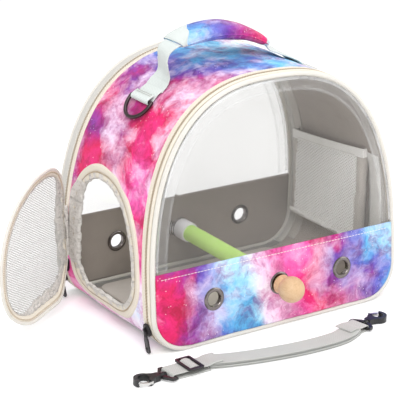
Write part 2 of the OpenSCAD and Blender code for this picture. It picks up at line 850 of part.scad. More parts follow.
module strap_end_right() {
    color("lightsteelblue") right_end() web_eye(10.3, [[0, upper_z], [-9, upper_z]]);
}

// Left tail threads through the three bar slide
glide_x = -22;
glide_l = 17;
glide_t = 2;
hump = [[9, 0], [6.6, 0.1], [4.6, 1.3], [2.6, 2.55], [0, 2.75], [-2.6, 2.55],
    [-4.6, 1.3], [-6.6, 0.1], [-9, 0]];
module strap_end_left() {
    color("lightsteelblue") left_end() web_eye(40, concat([[0, upper_z]],
        [for (d = hump) [glide_x + d[0], upper_z + d[1]]], [[-40, upper_z]]));
}

// Three bar slide that sets the strap's length
module tri_glide() {
    foot = upper_z + web_t / 2 + gap;
    o = web_w + 7;
    color("black") left_end() translate([glide_x, 0, 0]) difference() {
        translate([0, 0, foot]) linear_extrude(glide_t) union() {
            square([glide_l - 4, o], center = true);
            square([glide_l, o - 4], center = true);
            for (x = [-1, 1]) for (y = [-1, 1])
                translate([x * (glide_l / 2 - 2), y * (o / 2 - 2)]) circle(2);
        }
        for (x = [-4, 4]) translate([x, 0, 0])
            cube([4.6, slot_in, 24], center = true);
        translate([0, 0, foot + 2.2]) cube([glide_l - 5, slot_in, 3], center = true);
    }
}

// Frame that takes the webbing, with the swivel's neck
module hook_bracket() {
    w = slot_in / 2 + 2.6;
    color("black") difference() {
        union() {
            translate([0, w - 0.5, 0]) rotate([90, 0, 0]) cylinder(h = 2 * w - 1, r = bar_t / 2);
            translate([0, 0, -bar_t / 2]) linear_extrude(bar_t) difference() {
                polygon([[0, -w], [5, -w], [10.5, -5], [10.5, 5], [5, w], [0, w]]);
                polygon([[-1, -slot_in / 2], [4, -slot_in / 2], [6.6, -4.4],
                    [6.6, 4.4], [4, slot_in / 2], [-1, slot_in / 2]]);
            }
            translate([7, 0, 0]) rotate([0, 90, 0]) cylinder(h = 4.5, r = 3.2);
        }
        translate([-1, 0, 0]) rotate([0, 90, 0]) cylinder(h = 20, r = 1.85);
    }
}

module hook_bracket_left() { left_end() hook_bracket(); }
module hook_bracket_right() { right_end() hook_bracket(); }

// Middle of the hook's bow and the pivot of its gate
bow_x = 29;
bow_r = 7.6;
bow_w = 3.8;
gate_a = 128;
gate_tip_a = 34;
gate_at = [bow_x + bow_r * cos(gate_a), bow_r * sin(gate_a)];

// Swivelling hook with an open mouth that the gate shuts
module hook() {
    color("black") {
        difference() {
            union() {
                translate([0, 0, -hook_t / 2]) linear_extrude(hook_t) difference() {
                    union() {
                        translate([bow_x, 0]) circle(bow_r + bow_w / 2);
                        polygon([[12.2, -3.6], [18, -4.4], [bow_x - 4, -8], [bow_x - 4, 8],
                            [18, 4.4], [12.2, 3.6]]);
                    }
                    translate([bow_x, 0]) circle(bow_r - bow_w / 2);
                    translate([bow_x, 0]) polygon([for (a = [gate_tip_a - 3, gate_tip_a + 15,
                        gate_tip_a + 35, gate_tip_a + 55, gate_a - 17]) 14 * [cos(a), sin(a)],
                        4 * [cos(gate_a - 17), sin(gate_a - 17)],
                        4 * [cos(gate_tip_a - 3), sin(gate_tip_a - 3)]]);
                }
            }
            translate([gate_at[0], gate_at[1], -1.6]) cylinder(h = 3.2, r = 3.1);
            translate([gate_at[0], gate_at[1], -1.6]) linear_extrude(3.2) polygon(concat([[0, 0]],
                [for (a = [-42:5:3]) 12.7 * [cos(a), sin(a)]]));
        }
        translate([gate_at[0], gate_at[1], -2.2]) cylinder(h = 4.4, r = 0.9);
        translate([5.6, 0, 0]) rotate([0, 90, 0]) cylinder(h = 7, r = 1.8);
        translate([4.4, 0, 0]) rotate([0, 90, 0]) cylinder(h = 1.8, r = 2.9);
    }
}

module hook_left() { left_end() hook(); }
module hook_right() { right_end() hook(); }

// Sprung gate across the hook's mouth
module hook_gate() {
    color("dimgray") translate([0, 0, -1.3]) linear_extrude(2.6) difference() {
        union() {
            translate(gate_at) circle(2.5);
            translate([bow_x, 0]) polygon(concat(
                [for (i = [0:8]) let (a = gate_tip_a + (gate_a - gate_tip_a) * i / 8)
                    (bow_r + 1.5) * [cos(a), sin(a)]],
                [for (i = [0:8]) let (a = gate_a - (gate_a - gate_tip_a) * i / 8)
                    (bow_r - 1.1) * [cos(a), sin(a)]]));
        }
        translate(gate_at) circle(0.97);
    }
}

module hook_gate_left() { left_end() hook_gate(); }
module hook_gate_right() { right_end() hook_gate(); }

gusset_print();
gusset_lining();
base_panel();
floor_board();
front_tape();
front_coil();
back_tape();
back_coil();
opening_rim();
opening_strip();
pocket_net();
pocket_binding();
front_panel_tape();
front_piping();
front_window();
front_band();
front_band_lining();
front_grommets();
back_panel_tape();
back_piping();
back_window();
back_band();
back_band_lining();
back_grommets();
door_frame();
door_mesh();
door_strip();
front_slider();
front_pull();
back_slider();
back_pull();
door_slider();
door_pull();
handle_grip();
handle_webbing();
handle_feet();
ring_tab_left();
ring_tab_right();
ring_left();
ring_right();
perch_rod();
perch_cap();
perch_bolt();
perch_knob();
strap_webbing();
strap_end_left();
strap_end_right();
tri_glide();
hook_bracket_left();
hook_left();
hook_gate_left();
hook_bracket_right();
hook_right();
hook_gate_right();
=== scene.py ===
"""Looks of an arched fabric carrier for a small bird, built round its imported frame.

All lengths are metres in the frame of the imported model: +Z up, the front panel
faces -Y, the ground is z = 0. Sizes that the soft pieces share are in Sizes.
"""

import json
import logging
import math
from dataclasses import dataclass, field
from enum import Enum
from typing import Callable, Iterable, Sequence

import bmesh
import bpy
import numpy as np
from bpy.types import Material, Node, NodeSocket, NodeTree, Object
from mathutils import Matrix, Vector

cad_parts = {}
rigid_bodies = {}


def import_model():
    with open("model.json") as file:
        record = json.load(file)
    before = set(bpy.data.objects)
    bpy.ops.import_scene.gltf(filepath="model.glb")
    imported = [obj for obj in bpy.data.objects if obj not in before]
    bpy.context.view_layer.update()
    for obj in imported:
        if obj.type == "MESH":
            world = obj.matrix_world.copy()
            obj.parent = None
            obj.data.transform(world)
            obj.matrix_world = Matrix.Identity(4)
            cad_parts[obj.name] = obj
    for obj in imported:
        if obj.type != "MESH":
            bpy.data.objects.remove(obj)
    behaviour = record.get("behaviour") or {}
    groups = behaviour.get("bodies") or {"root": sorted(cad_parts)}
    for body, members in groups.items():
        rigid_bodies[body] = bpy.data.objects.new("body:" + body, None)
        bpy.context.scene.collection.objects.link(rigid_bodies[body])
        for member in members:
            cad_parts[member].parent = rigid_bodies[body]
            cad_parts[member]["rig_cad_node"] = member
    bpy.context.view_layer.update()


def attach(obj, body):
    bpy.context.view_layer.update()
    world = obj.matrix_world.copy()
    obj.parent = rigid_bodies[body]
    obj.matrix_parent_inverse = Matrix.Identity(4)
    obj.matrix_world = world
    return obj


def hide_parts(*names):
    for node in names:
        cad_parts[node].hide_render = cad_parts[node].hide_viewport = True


log = logging.getLogger("carrier")

Array = np.ndarray
Pairs = Sequence[tuple[float, float]]
Triple = tuple[float, float, float]
Colour = tuple[float, float, float, float]


@dataclass(frozen=True)
class Sizes:
    """Sizes that several sub-assemblies share."""

    half_w: float = 0.15
    depth: float = 0.185
    height: float = 0.255
    corner_r: float = 0.039
    side_h: float = 0.053
    roundness: float = 2.55
    front_lean: float = math.radians(5.5)
    back_lean: float = math.radians(0.5)
    back_border: float = 0.006
    piping_r: float = 0.0024
    tape: tuple[float, float] = (0.003, 0.0066)
    coil: tuple[float, float] = (0.007, 0.0092)
    body_tape: tuple[float, float] = (0.0093, 0.0156)
    base_cut: float = 0.00405
    band_h: float = 0.08
    eyelet_gap: float = 0.079
    eyelet_z: float = 0.0445
    crown_y: float = 0.00782


SIZES = Sizes()


class Side(Enum):
    """Which end of the body a piece belongs to."""

    FRONT = -1
    BACK = 1

    @property
    def word(self) -> str:
        """Name used at the start of the end's pieces."""
        return self.name.lower()

    @property
    def border(self) -> float:
        """Extra depth of this end's zipper."""
        return SIZES.back_border if self is Side.BACK else 0.0


def points(*coordinates: Array | float) -> Array:
    """Points from their coordinates, which are broadcast together."""
    return np.stack(np.broadcast_arrays(*coordinates), axis=-1)


def unit(v: Array) -> Array:
    """Vectors scaled to length one."""
    return v / np.maximum(np.linalg.norm(v, axis=-1, keepdims=True), 1e-12)


def fade(x: Array, start: float, span: float) -> Array:
    """0 before start, 1 from a span further on; a negative span turns that round."""
    return np.clip((x - start) / span, 0, 1)


def circle(count: int) -> Array:
    """Even angles once round."""
    return np.linspace(0, math.tau, count, endpoint=False)


def lengths(line: Array) -> Array:
    """Length of a line up to each of its points."""
    return np.r_[0, np.cumsum(np.linalg.norm(np.diff(line, axis=0), axis=1))]


def sample(t: Array, s: Array, values: Array) -> Array:
    """Rows of values at t, when they are known at s."""
    return points(*(np.interp(t, s, column) for column in values.T))


def even(line: Array, count: int) -> Array:
    """Line resampled to evenly spaced stations."""
    s = lengths(line)
    return sample(np.linspace(0, s[-1], count), s, line)


def smooth_line(knots: Array, count: int) -> Array:
    """Even stations on a rounded curve through some points.

    Args:
        knots: (n, k) points of an open line.
        count: number of stations.

    Returns:
        (count, k) stations, evenly spaced.
    """
    p = np.vstack([2 * knots[0] - knots[1], knots, 2 * knots[-1] - knots[-2]])
    fine = []
    for i in range(1, len(p) - 2):
        t = np.linspace(0, 1, 24, endpoint=i == len(p) - 3)[:, None]
        a, b, c, d = p[i - 1:i + 3]
        fine.append(0.5 * (2 * b + (c - a) * t + (2 * a - 5 * b + 4 * c - d) * t**2 + (3 * b - a - 3 * c + d) * t**3))
    return even(np.vstack(fine), count)


def ripples(at: Array, waves: Iterable[tuple[float, float]], seed: int) -> Array:
    """Smooth uneven relief at each point, about zero on average.

    Args:
        at: (..., 3) places in metres.
        waves: pairs of wavelength and height in metres.
        seed: number that picks the pattern.

    Returns:
        A height for each point.
    """
    rng = np.random.default_rng(seed)
    total = np.zeros(at.shape[:-1])
    for wavelength, height in waves:
        for _ in range(5):
            way = rng.normal(size=3)
            way *= math.tau / (wavelength * rng.uniform(0.7, 1.5)) / np.linalg.norm(way)
            total += height / 3 * np.sin(at @ way + rng.uniform(0, math.tau))
    return total


def inside(at: Array, loop: Array) -> Array:
    """Which of the flat points lie inside a closed loop.

    Args:
        at: (..., 2) points.
        loop: (n, 2) outline.

    Returns:
        Whether each point lies inside.
    """
    a, b = loop, np.roll(loop, -1, axis=0)
    x, y = at[..., 0, None], at[..., 1, None]
    crosses = (a[:, 1] > y) != (b[:, 1] > y)
    with np.errstate(divide="ignore", invalid="ignore"):
        edge = a[:, 0] + (y - a[:, 1]) * (b[:, 0] - a[:, 0]) / (b[:, 1] - a[:, 1])
    return (crosses & (x < edge)).sum(axis=-1) % 2 == 1


def four_arcs(arcs: Iterable[tuple[float, float, float, float]], steps: int, count: int) -> Array:
    """Even points on a closed outline of four quarter ellipses, each given by its centre and radii.

    Args:
        arcs: x and y of the centre and the radii of each quarter, against the clock.
        steps: points traced on each quarter.
        count: points of the outline.

    Returns:
        (count, 2) points.
    """
    line = []
    for k, (cx, cy, rx, ry) in enumerate(arcs):
        a = np.radians(np.linspace(90 * k, 90 * k + 90, steps))
        line.append(points(cx + rx * np.cos(a), cy + ry * np.sin(a)))
    return even(np.vstack(line + [line[0][:1]]), count + 1)[:-1]


def middles(grid: Array) -> Array:
    """Middle of each cell of a grid."""
    return (grid[1:, 1:] + grid[:-1, 1:] + grid[1:, :-1] + grid[:-1, :-1]) / 4


def quads(nu: int, nv: int, wrap_u: bool = False, wrap_v: bool = False) -> Array:
    """Faces of a grid whose vertices run over v first.

    Args:
        nu: vertices along u.
        nv: vertices along v.
        wrap_u: joins the last row to the first.
        wrap_v: joins the last column to the first.

    Returns:
        (m, 4) vertex numbers.
    """
    i, j = np.meshgrid(np.arange(nu - (not wrap_u)), np.arange(nv - (not wrap_v)), indexing="ij")
    i2, j2 = (i + 1) % nu, (j + 1) % nv
    return points(i * nv + j, i2 * nv + j, i2 * nv + j2, i * nv + j2).reshape(-1, 4)


def add_mesh(name: str, verts: Array, faces: Array, uv: Array | None = None) -> Object:
    """New smooth object from quads.

    Args:
        name: object name.
        verts: vertices in metres.
        faces: (m, 4) vertex numbers.
        uv: map coordinates in metres, one pair for each vertex.

    Returns:
        The linked object.
    """
    mesh = bpy.data.meshes.new(name)
    mesh.from_pydata(verts.reshape(-1, 3).tolist(), [], faces.tolist())
    mesh.polygons.foreach_set("use_smooth", np.ones(len(mesh.polygons), bool))
    if uv is not None:
        corner = np.zeros(len(mesh.loops), np.int32)
        mesh.loops.foreach_get("vertex_index", corner)
        mesh.uv_layers.new(name="UVMap").data.foreach_set("uv", uv.reshape(-1, 2)[corner].ravel())
    mesh.update()
    obj = bpy.data.objects.new(name, mesh)
    bpy.context.scene.collection.objects.link(obj)
    return obj


def sheet(name: str, grid: Array, thickness: float, keep: Array | None = None, flip: bool = False,
          round_v: bool = False) -> Object:
    """Cloth from a grid of points, with real thickness on its back.

    Args:
        name: object name.
        grid: (nu, nv, 3) points of the outer face.
        thickness: cloth thickness.
        keep: which cells stay, (nu - 1, nv - 1).
        flip: turns the outer face round.
        round_v: joins the last column to the first.

    Returns:
        The object, its map runs along both edges in metres.
    """
    nu, nv = grid.shape[:2]
    uv = points(lengths(grid[:, nv // 2])[:, None], np.stack([lengths(row) for row in grid]))
    faces = quads(nu, nv, False, round_v)
    if keep is not None:
        faces = faces[keep.ravel()]
    obj = add_mesh(name, grid, faces[:, ::-1] if flip else faces, uv)
    if thickness:
        solid = obj.modifiers.new("thickness", "SOLIDIFY")
        solid.thickness, solid.offset = thickness, -1
    return obj


def loft(name: str, rings: Array, closed: bool = False) -> Object:
    """Solid skin over rings of equal count.

    Args:
        name: object name.
        rings: (n, k, 3) closed sections along the piece.
        closed: the last section joins the first; otherwise both ends get a face.

    Returns:
        The object.
    """
    n, k = rings.shape[:2]
    around = np.linalg.norm(rings[0] - np.roll(rings[0], 1, axis=0), axis=1)
    around[0] = 0
    uv = points(lengths(rings.mean(axis=1))[:, None], np.cumsum(around))
    obj = add_mesh(name, rings, quads(n, k, closed, True), uv)
    if not closed:
        bm = bmesh.new()
        bm.from_mesh(obj.data)
        bm.verts.ensure_lookup_table()
        bm.faces.new(bm.verts[:k][::-1])
        bm.faces.new(bm.verts[(n - 1) * k:])
        bmesh.ops.recalc_face_normals(bm, faces=bm.faces)
        bm.to_mesh(obj.data)
        bm.free()
    return obj


def tube_rings(line: Array, radius: float | Array, sides: int, closed: bool = False, flat: float = 1.0) -> Array:
    """Round or flattened sections along a line.

    Args:
        line: (n, 3) centre line.
        radius: one radius, or one for each station.
        sides: points round the section.
        closed: joins the ends.
        flat: section height over width.

    Returns:
        (n, sides, 3) sections.
    """
    way = unit(np.roll(line, -1, axis=0) - np.roll(line, 1, axis=0) if closed else np.gradient(line, axis=0))
    across = unit(np.cross(way, [0.13, 0.21, 1.0]))
    up = unit(np.cross(across, way))
    a = circle(sides)[:, None]
    return line[:, None] + np.reshape(radius, (-1, 1, 1)) * (np.cos(a) * across[:, None]
                                                             + flat * np.sin(a) * up[:, None])


def tube(name: str, line: Array, radius: float | Array, sides: int, closed: bool = False, flat: float = 1.0) -> Object:
    """Cord along a line, see tube_rings()."""
    return loft(name, tube_rings(line, radius, sides, closed, flat), closed)


def capsule(length: float, radius: float, sides: int) -> tuple[Array, Array]:
    """Small round-ended bar along x: its vertices and quads.

    Args:
        length: overall length.
        radius: radius at the middle.
        sides: points round it.

    Returns:
        Vertices and quads.
    """
    tip, start, full = length / 2, length / 2 - 0.35 * radius, length / 2 - radius
    stations = [(-tip, 0.15), (-start, 0.75), (-full, 1.0), (full, 1.0), (start, 0.75), (tip, 0.15)]
    verts = [[(x, r * radius * math.cos(t), r * radius * math.sin(t)) for t in circle(sides)] for x, r in stations]
    return np.reshape(verts, (-1, 3)), quads(len(stations), sides, False, True)


def row_of(name: str, shape: tuple[Array, Array], places: Array, along: Array, up: Array) -> Object:
    """Many copies of one small shape in a single object.

    Args:
        name: object name.
        shape: vertices and quads of one copy, x along and z up.
        places: (n, 3) origins.
        along: (n, 3) local x directions.
        up: (n, 3) rough local z directions.

    Returns:
        The object.
    """
    base, faces = shape
    x = unit(along)
    y = unit(np.cross(up, x))
    verts = places[:, None] + base @ np.stack([x, y, np.cross(x, y)], axis=1)
    every = faces[None] + (np.arange(len(places)) * len(base))[:, None, None]
    return add_mesh(name, verts, every.reshape(-1, 4))


def stitches(name: str, line: Array, up: Array | Sequence[float], pitch: float = 0.0029, length: float = 0.0021,
             radius: float = 0.00024) -> Object:
    """Row of thread stitches that lie on a line.

    Args:
        name: object name.
        line: (n, 3) seam.
        up: direction out of the cloth, one or one for each point.
        pitch: distance between stitches.
        length: length of a stitch.
        radius: radius of the thread.

    Returns:
        The object.
    """
    s = lengths(line)
    t = np.arange(pitch / 2, s[-1] - pitch / 2, pitch)
    at, ahead = (sample(t + step, s, line) for step in (0, pitch / 4))
    return row_of(name, capsule(length, radius, 5), at, ahead - at, sample(t, s, np.broadcast_to(up, line.shape)))


def webbing(name: str, line: Array, across: Array | Sequence[float], width: float | Array, thick: float) -> Object:
    """Woven band with rounded selvedges along a line, across gives its rough width direction.

    Args:
        name: object name.
        line: (n, 3) middle line.
        across: rough width direction, one or one for each station.
        width: one width, or one for each station.
        thick: thickness.

    Returns:
        The object.
    """
    way = unit(np.gradient(line, axis=0))
    across = np.asarray(across, float)
    w = unit(across - (across * way).sum(1, keepdims=True) * way)[:, None]
    n = np.cross(way, w[:, 0])[:, None]
    under = [(-0.5, -0.2), (-0.49, -0.42), (-0.465, -0.5), (-0.4, -0.44), (0.0, -0.44),
             (0.4, -0.44), (0.465, -0.5), (0.49, -0.42), (0.5, -0.2)]
    a = np.vstack([under, np.negative(under)])[..., None]
    return loft(name, line[:, None] + np.reshape(width, (-1, 1, 1)) * a[:, 0] * w + thick * a[:, 1] * n)


def crossed_net(middle: Array, reach: float, pitch: float, step: float, lean: float, radius: float,
                keep: Callable[[Array], Array], place: Callable[[Array, bool], Array]) -> tuple[Array, Array]:
    """Net of two layers of threads that cross.

    Args:
        middle: flat middle of the net.
        reach: how far the threads reach from it.
        pitch: distance between threads.
        step: distance between a thread's stations.
        lean: angle of one layer in degrees, the other leans as far the other way.
        radius: thread radius.
        keep: says which flat points lie in the net.
        place: puts a thread's flat points into space, given whether it belongs to the upper layer.

    Returns:
        Vertices and faces.
    """
    rings, faces, count = [], [], 0
    for angle in (lean, 180 - lean):
        way = np.array([math.cos(math.radians(angle)), math.sin(math.radians(angle))])
        for k in np.arange(-reach, reach, pitch):
            line = middle + k * np.array([-way[1], way[0]]) + np.arange(-reach, reach, step)[:, None] * way
            line = line[keep(line)]
            if len(line) > 2:
                rings.append(tube_rings(place(line, angle > 90), radius, 4).reshape(-1, 3))
                faces.append(quads(len(line), 4, False, True) + count)
                count += len(rings[-1])
    return np.vstack(rings), np.vstack(faces)


class ArchLine:
    """Closed outline of the body seen from the front, by its length from the base's middle."""

    def __init__(self, sizes: Sizes) -> None:
        """Traces the outline with its outward normals.

        Args:
            sizes: sizes of the body.
        """
        start, power = sizes.half_w - sizes.corner_r, sizes.roundness
        a = np.radians(np.linspace(-90, 0, 90))[1:]
        b = np.radians(np.linspace(0, 90, 500))
        reach = (np.cos(b) / sizes.half_w) ** power + (np.sin(b) / (sizes.height - sizes.side_h)) ** power
        reach = reach ** (-1 / power)
        right = np.vstack([np.linspace([0, 0], [start, 0], 60),
                           points(start + sizes.corner_r * np.cos(a), sizes.corner_r * (1 + np.sin(a))),
                           points(reach * np.cos(b), sizes.side_h + reach * np.sin(b))])
        line = even(np.vstack([right, right[::-1][1:-1] * [-1, 1], right[:1]]), 2401)[:-1]
        way = unit(np.roll(line, -1, axis=0) - np.roll(line, 1, axis=0))
        ring = np.column_stack([line, way[:, 1], -way[:, 0]])
        self.ring = np.vstack([ring, ring[:1]]).T
        self.s = lengths(self.ring[:2].T)
        self.total = self.s[-1]

    def at(self, s: Array, out: Array | float = 0.0) -> tuple[Array, Array]:
        """x and z at some lengths, moved outward by out.

        Args:
            s: lengths along the outline.
            out: distance outward.

        Returns:
            x and z.
        """
        x, z, nx, nz = (np.interp(np.mod(s, self.total), self.s, q) for q in self.ring)
        k = np.hypot(nx, nz)
        return x + out * nx / k, z + out * nz / k

    def normal(self, s: Array) -> Array:
        """Outward directions as (n, 3) vectors."""
        nx, nz = (np.interp(np.mod(s, self.total), self.s, q) for q in self.ring[2:])
        return unit(points(nx, 0.0, nz))

    def length_at(self, z: Array | float, left: bool = False) -> Array:
        """Length at which the outline passes a height.

        Args:
            z: heights.
            left: takes the left side in place of the right.

        Returns:
            Lengths along the outline.
        """
        rising = slice(60, len(self.s) // 2)
        s = np.interp(z, self.ring[1, rising], self.s[rising])
        return self.total - s if left else s


ARCH = ArchLine(SIZES)


def end_y(side: Side, z: Array, depth: Array | float) -> Array:
    """y on an end's leaning plane, at a depth behind it."""
    lean = SIZES.front_lean if side is Side.FRONT else SIZES.back_lean
    return side.value * (SIZES.depth / 2 - z * math.tan(lean) - depth / math.cos(lean))


def end_line(side: Side, s: Array, depth: float, lift: Array | float) -> Array:
    """Line round one end at a depth behind its plane and a height over the wrap."""
    x, z = ARCH.at(s, lift)
    return points(x, end_y(side, z, depth), z)


def end_rings(side: Side, s: Array, profile: Pairs) -> Array:
    """Sections of a piece round one end, from a closed profile of depths and heights."""
    return np.stack([end_line(side, s, depth, lift) for depth, lift in profile], axis=1)


def pillow(x0: float, x1: float, low: float, high: float, crown: float) -> Pairs:
    """Section of a soft flat strip, its upper side crowned.

    Args:
        x0: near edge.
        x1: far edge.
        low: height of the underside.
        high: height of the upper edges.
        crown: further height of the middle.

    Returns:
        Closed section as pairs.
    """
    e, m, part = min(0.0005, (x1 - x0) * 0.2), (x0 + x1) / 2, (x1 - x0) * 0.2
    return [(x0, low), (x0, high - 0.5 * e), (x0 + e, high), (m - part, high + crown * 0.9), (m, high + crown),
            (m + part, high + crown * 0.9), (x1 - e, high), (x1, high - 0.5 * e), (x1, low), (m, low)]


def srgb(r: float, g: float, b: float) -> Colour:
    """Linear colour of three 0-255 screen values."""
    return *(((c / 255 + 0.055) / 1.055) ** 2.4 if c > 10 else c / 255 / 12.92 for c in (r, g, b)), 1.0


def shade(colour: Colour, gain: float, lift: float = 0.0, top: float = 1.0) -> Colour:
    """Colour made lighter or darker."""
    return *(min(c * gain + lift, top) for c in colour[:3]), 1.0


class Tree:
    """Thin helper that adds and links shader nodes."""

    def __init__(self, tree: NodeTree) -> None:
        """Starts on an existing tree."""
        self.tree = tree

    def fill(self, node: Node, **values: object) -> None:
        """Links or sets inputs, by name or by number as in i0.

        Args:
            node: the node.
            values: a value or a socket for each input.
        """
        for key, value in values.items():
            socket = node.inputs[int(key[1:]) if key[1:].isdigit() else key.replace("_", " ")]
            if isinstance(value, NodeSocket):
                self.tree.links.new(value, socket)
            else:
                socket.default_value = value

    def add(self, kind: str, **values: object) -> Node:
        """New shader node; values are the node's own settings or its inputs.

        Args:
            kind: type of the node without ShaderNode.
            values: settings and inputs.

        Returns:
            The node.
        """
        node = self.tree.nodes.new(f"ShaderNode{kind}")
        for key, value in values.items():
            if hasattr(node, key):
                setattr(node, key, value)
            else:
                self.fill(node, **{key: value})
        return node

    def group(self, name: str, make: Callable[[], NodeTree], **values: object) -> Node:
        """Node of a shared group, which is made once."""
        return self.add("Group", node_tree=bpy.data.node_groups.get(name) or make(), **values)

    def math(self, how: str, a: object, b: object = 0.0, clamp: bool = False) -> NodeSocket:
        """Result of a Math node."""
        return self.add("Math", operation=how, use_clamp=clamp, i0=a, i1=b).outputs[0]

    def plus(self, a: object, b: object) -> NodeSocket:
        """Sum of two values."""
        return self.math("ADD", a, b)

    def times(self, a: object, b: object) -> NodeSocket:
        """Product of two values."""
        return self.math("MULTIPLY", a, b)

    def weigh(self, a: object, a_share: object, b: object, b_share: object) -> NodeSocket:
        """Sum of two values, each times its share."""
        return self.plus(self.times(a, a_share), self.times(b, b_share))

    def vmath(self, how: str, *values: object, result: str = "Vector") -> NodeSocket:
        """Result of a Vector Math node."""
        inputs = {f"i{k}": value for k, value in enumerate(values)}
        return self.add("VectorMath", operation=how, **inputs).outputs[result]

    def ramp(self, value: object, *stops: tuple[float, Colour | float]) -> NodeSocket:
        """Colour of a value between some stops, where a plain number is a grey.

        Args:
            value: position on the ramp.
            stops: positions and colours in order.

        Returns:
            The colour.
        """
        node = self.add("ValToRGB", Fac=value)
        bar = node.color_ramp.elements
        while len(bar) < len(stops):
            bar.new(0.5)
        for element, (at, colour) in zip(bar, stops):
            element.position = at
            element.color = colour if isinstance(colour, tuple) else (colour, colour, colour, 1)
        return node.outputs[0]

    def mix(self, how: str, amount: object, a: object, b: object) -> NodeSocket:
        """Result of a colour Mix node."""
        return self.add("Mix", data_type="RGBA", blend_type=how, i0=amount, i6=a, i7=b).outputs[2]

    def noise(self, vector: object, scale: float, detail: float = 3.0, rough: float = 0.55,
              distortion: float = 0.0) -> NodeSocket:
        """Height of a noise texture."""
        return self.add("TexNoise", Vector=vector, Scale=scale, Detail=detail, Roughness=rough,
                        Distortion=distortion).outputs[0]


class Group(Tree):
    """New shader group with named sockets."""

    def __init__(self, name: str, inputs: dict[str, object], outputs: dict[str, str]) -> None:
        """Adds the sockets, inputs by their defaults and outputs by their kinds.

        Args:
            name: name of the group.
            inputs: default of each input.
            outputs: socket kind of each output.
        """
        super().__init__(bpy.data.node_groups.new(name, "ShaderNodeTree"))
        new_socket = self.tree.interface.new_socket
        for label, default in inputs.items():
            kind = "Vector" if isinstance(default, tuple) else "Float"
            new_socket(label, in_out="INPUT", socket_type=f"NodeSocket{kind}").default_value = default
        for label, kind in outputs.items():
            new_socket(label, in_out="OUTPUT", socket_type=f"NodeSocket{kind}")
        self.given = self.tree.nodes.new("NodeGroupInput").outputs
        self.made = self.tree.nodes.new("NodeGroupOutput")

    def close(self, **results: NodeSocket) -> NodeTree:
        """Links the results and gives the finished tree."""
        self.fill(self.made, **results)
        return self.tree


def weave_group() -> NodeTree:
    """Plain weave: crossing threads from map coordinates in metres.

    Returns:
        The group's tree.
    """
    t = Group("plain_weave", {"Vector": (0, 0, 0), "Pitch": 0.0008, "Rib": 0.0}, {"Height": "Float", "Mask": "Float"})
    place, rib = t.given["Vector"], t.given["Rib"]
    turn = t.math("DIVIDE", math.pi, t.given["Pitch"])
    shift = t.times(t.noise(place, 90.0, 2.0), 1.6)
    a, b = (t.math("SINE", t.plus(t.times(way, turn), shift))
            for way in t.add("SeparateXYZ", i0=place).outputs[:2])
    both = t.plus(t.times(t.times(a, b), 0.5), 0.5)
    height = t.weigh(both, t.math("SUBTRACT", 1.0, rib), t.math("ABSOLUTE", a), rib)
    # Mask is low where the weave is low; the finishes darken there, painted shade between the threads
    return t.close(Height=height, Mask=t.math("POWER", height, 2.0))


def cloud_print_group() -> NodeTree:
    """Soft cloudy dye print: a wandering run of pinks, purple and sky blue with pale flecks.

    Returns:
        The group's tree.
    """
    t = Group("cloud_print", {"Vector": (0, 0, 0), "Way": (0, 0, 0), "Start": 0.0, "Wander": 0.6, "Pale": 0.88},
              {"Color": "Color"})
    place = t.given["Vector"]
    bend = t.noise(place, 22.0, 4.0, 0.55).node.outputs["Color"]
    offset = t.vmath("MULTIPLY_ADD", bend, (0.038, 0.038, 0.038), place)
    run = t.vmath("DOT_PRODUCT", offset, t.given["Way"], result="Value")
    big = t.noise(t.vmath("ADD", offset, (0.31, 0.12, 0.43)), 15.0, 3.0, 0.5)
    drift = t.times(t.math("SUBTRACT", big, 0.5), t.given["Wander"])
    tone = t.math("FRACT", t.plus(t.plus(run, drift), t.given["Start"]))
    base = t.ramp(tone, *((at, srgb(*colour)) for at, colour in (
        (0.0, (226, 22, 96)), (0.09, (186, 36, 128)), (0.18, (118, 62, 168)), (0.28, (92, 112, 200)),
        (0.38, (92, 190, 236)), (0.48, (176, 226, 248)), (0.57, (240, 234, 252)), (0.68, (252, 208, 238)),
        (0.79, (248, 96, 178)), (0.91, (236, 38, 124)), (1.0, (226, 22, 96)))))
    pale = t.ramp(t.noise(offset, 24.0, 7.0, 0.6, 0.3), (0.46, 0), (0.65, 1))
    base = t.mix("SCREEN", t.times(pale, t.given["Pale"]), base, srgb(248, 228, 250))
    deep = t.noise(t.vmath("ADD", offset, (3.1, 1.7, 5.3)), 42.0, 8.0, 0.68, 0.2)
    dark = t.times(t.ramp(deep, (0.47, 0), (0.62, 1)), 0.72)
    base = t.mix("MULTIPLY", dark, base, srgb(190, 84, 150))
    fine = t.ramp(t.noise(offset, 190.0, 5.0, 0.7), (0.35, (0.12, 0.12, 0.2, 1)), (0.66, (0.95, 0.9, 0.95, 1)))
    base = t.mix("SOFT_LIGHT", 0.42, base, fine)
    star = t.math("LESS_THAN", t.add("TexVoronoi", Vector=place, Scale=260.0).outputs["Distance"], 0.12)
    sparse = t.math("GREATER_THAN", t.noise(place, 30.0, 1.0), 0.53)
    fleck = t.times(t.times(star, sparse), 0.75)
    return t.close(Color=t.mix("MIX", fleck, base, srgb(255, 246, 252)))


def wear_group() -> NodeTree:
    """Uneven handling marks: a slow mottle and fine scratches.

    Returns:
        The group's tree.
    """
    t = Group("handling_marks", {"Vector": (0, 0, 0), "Amount": 0.5}, {"Mask": "Float", "Height": "Float"})
    place = t.given["Vector"]
    fine = t.noise(t.vmath("MULTIPLY", place, (1.0, 6.0, 3.0)), 900.0, 4.0, 0.7)
    both = t.weigh(t.noise(place, 130.0, 3.0), 0.6, fine, 0.4)
    return t.close(Mask=t.times(both, t.given["Amount"]), Height=fine)


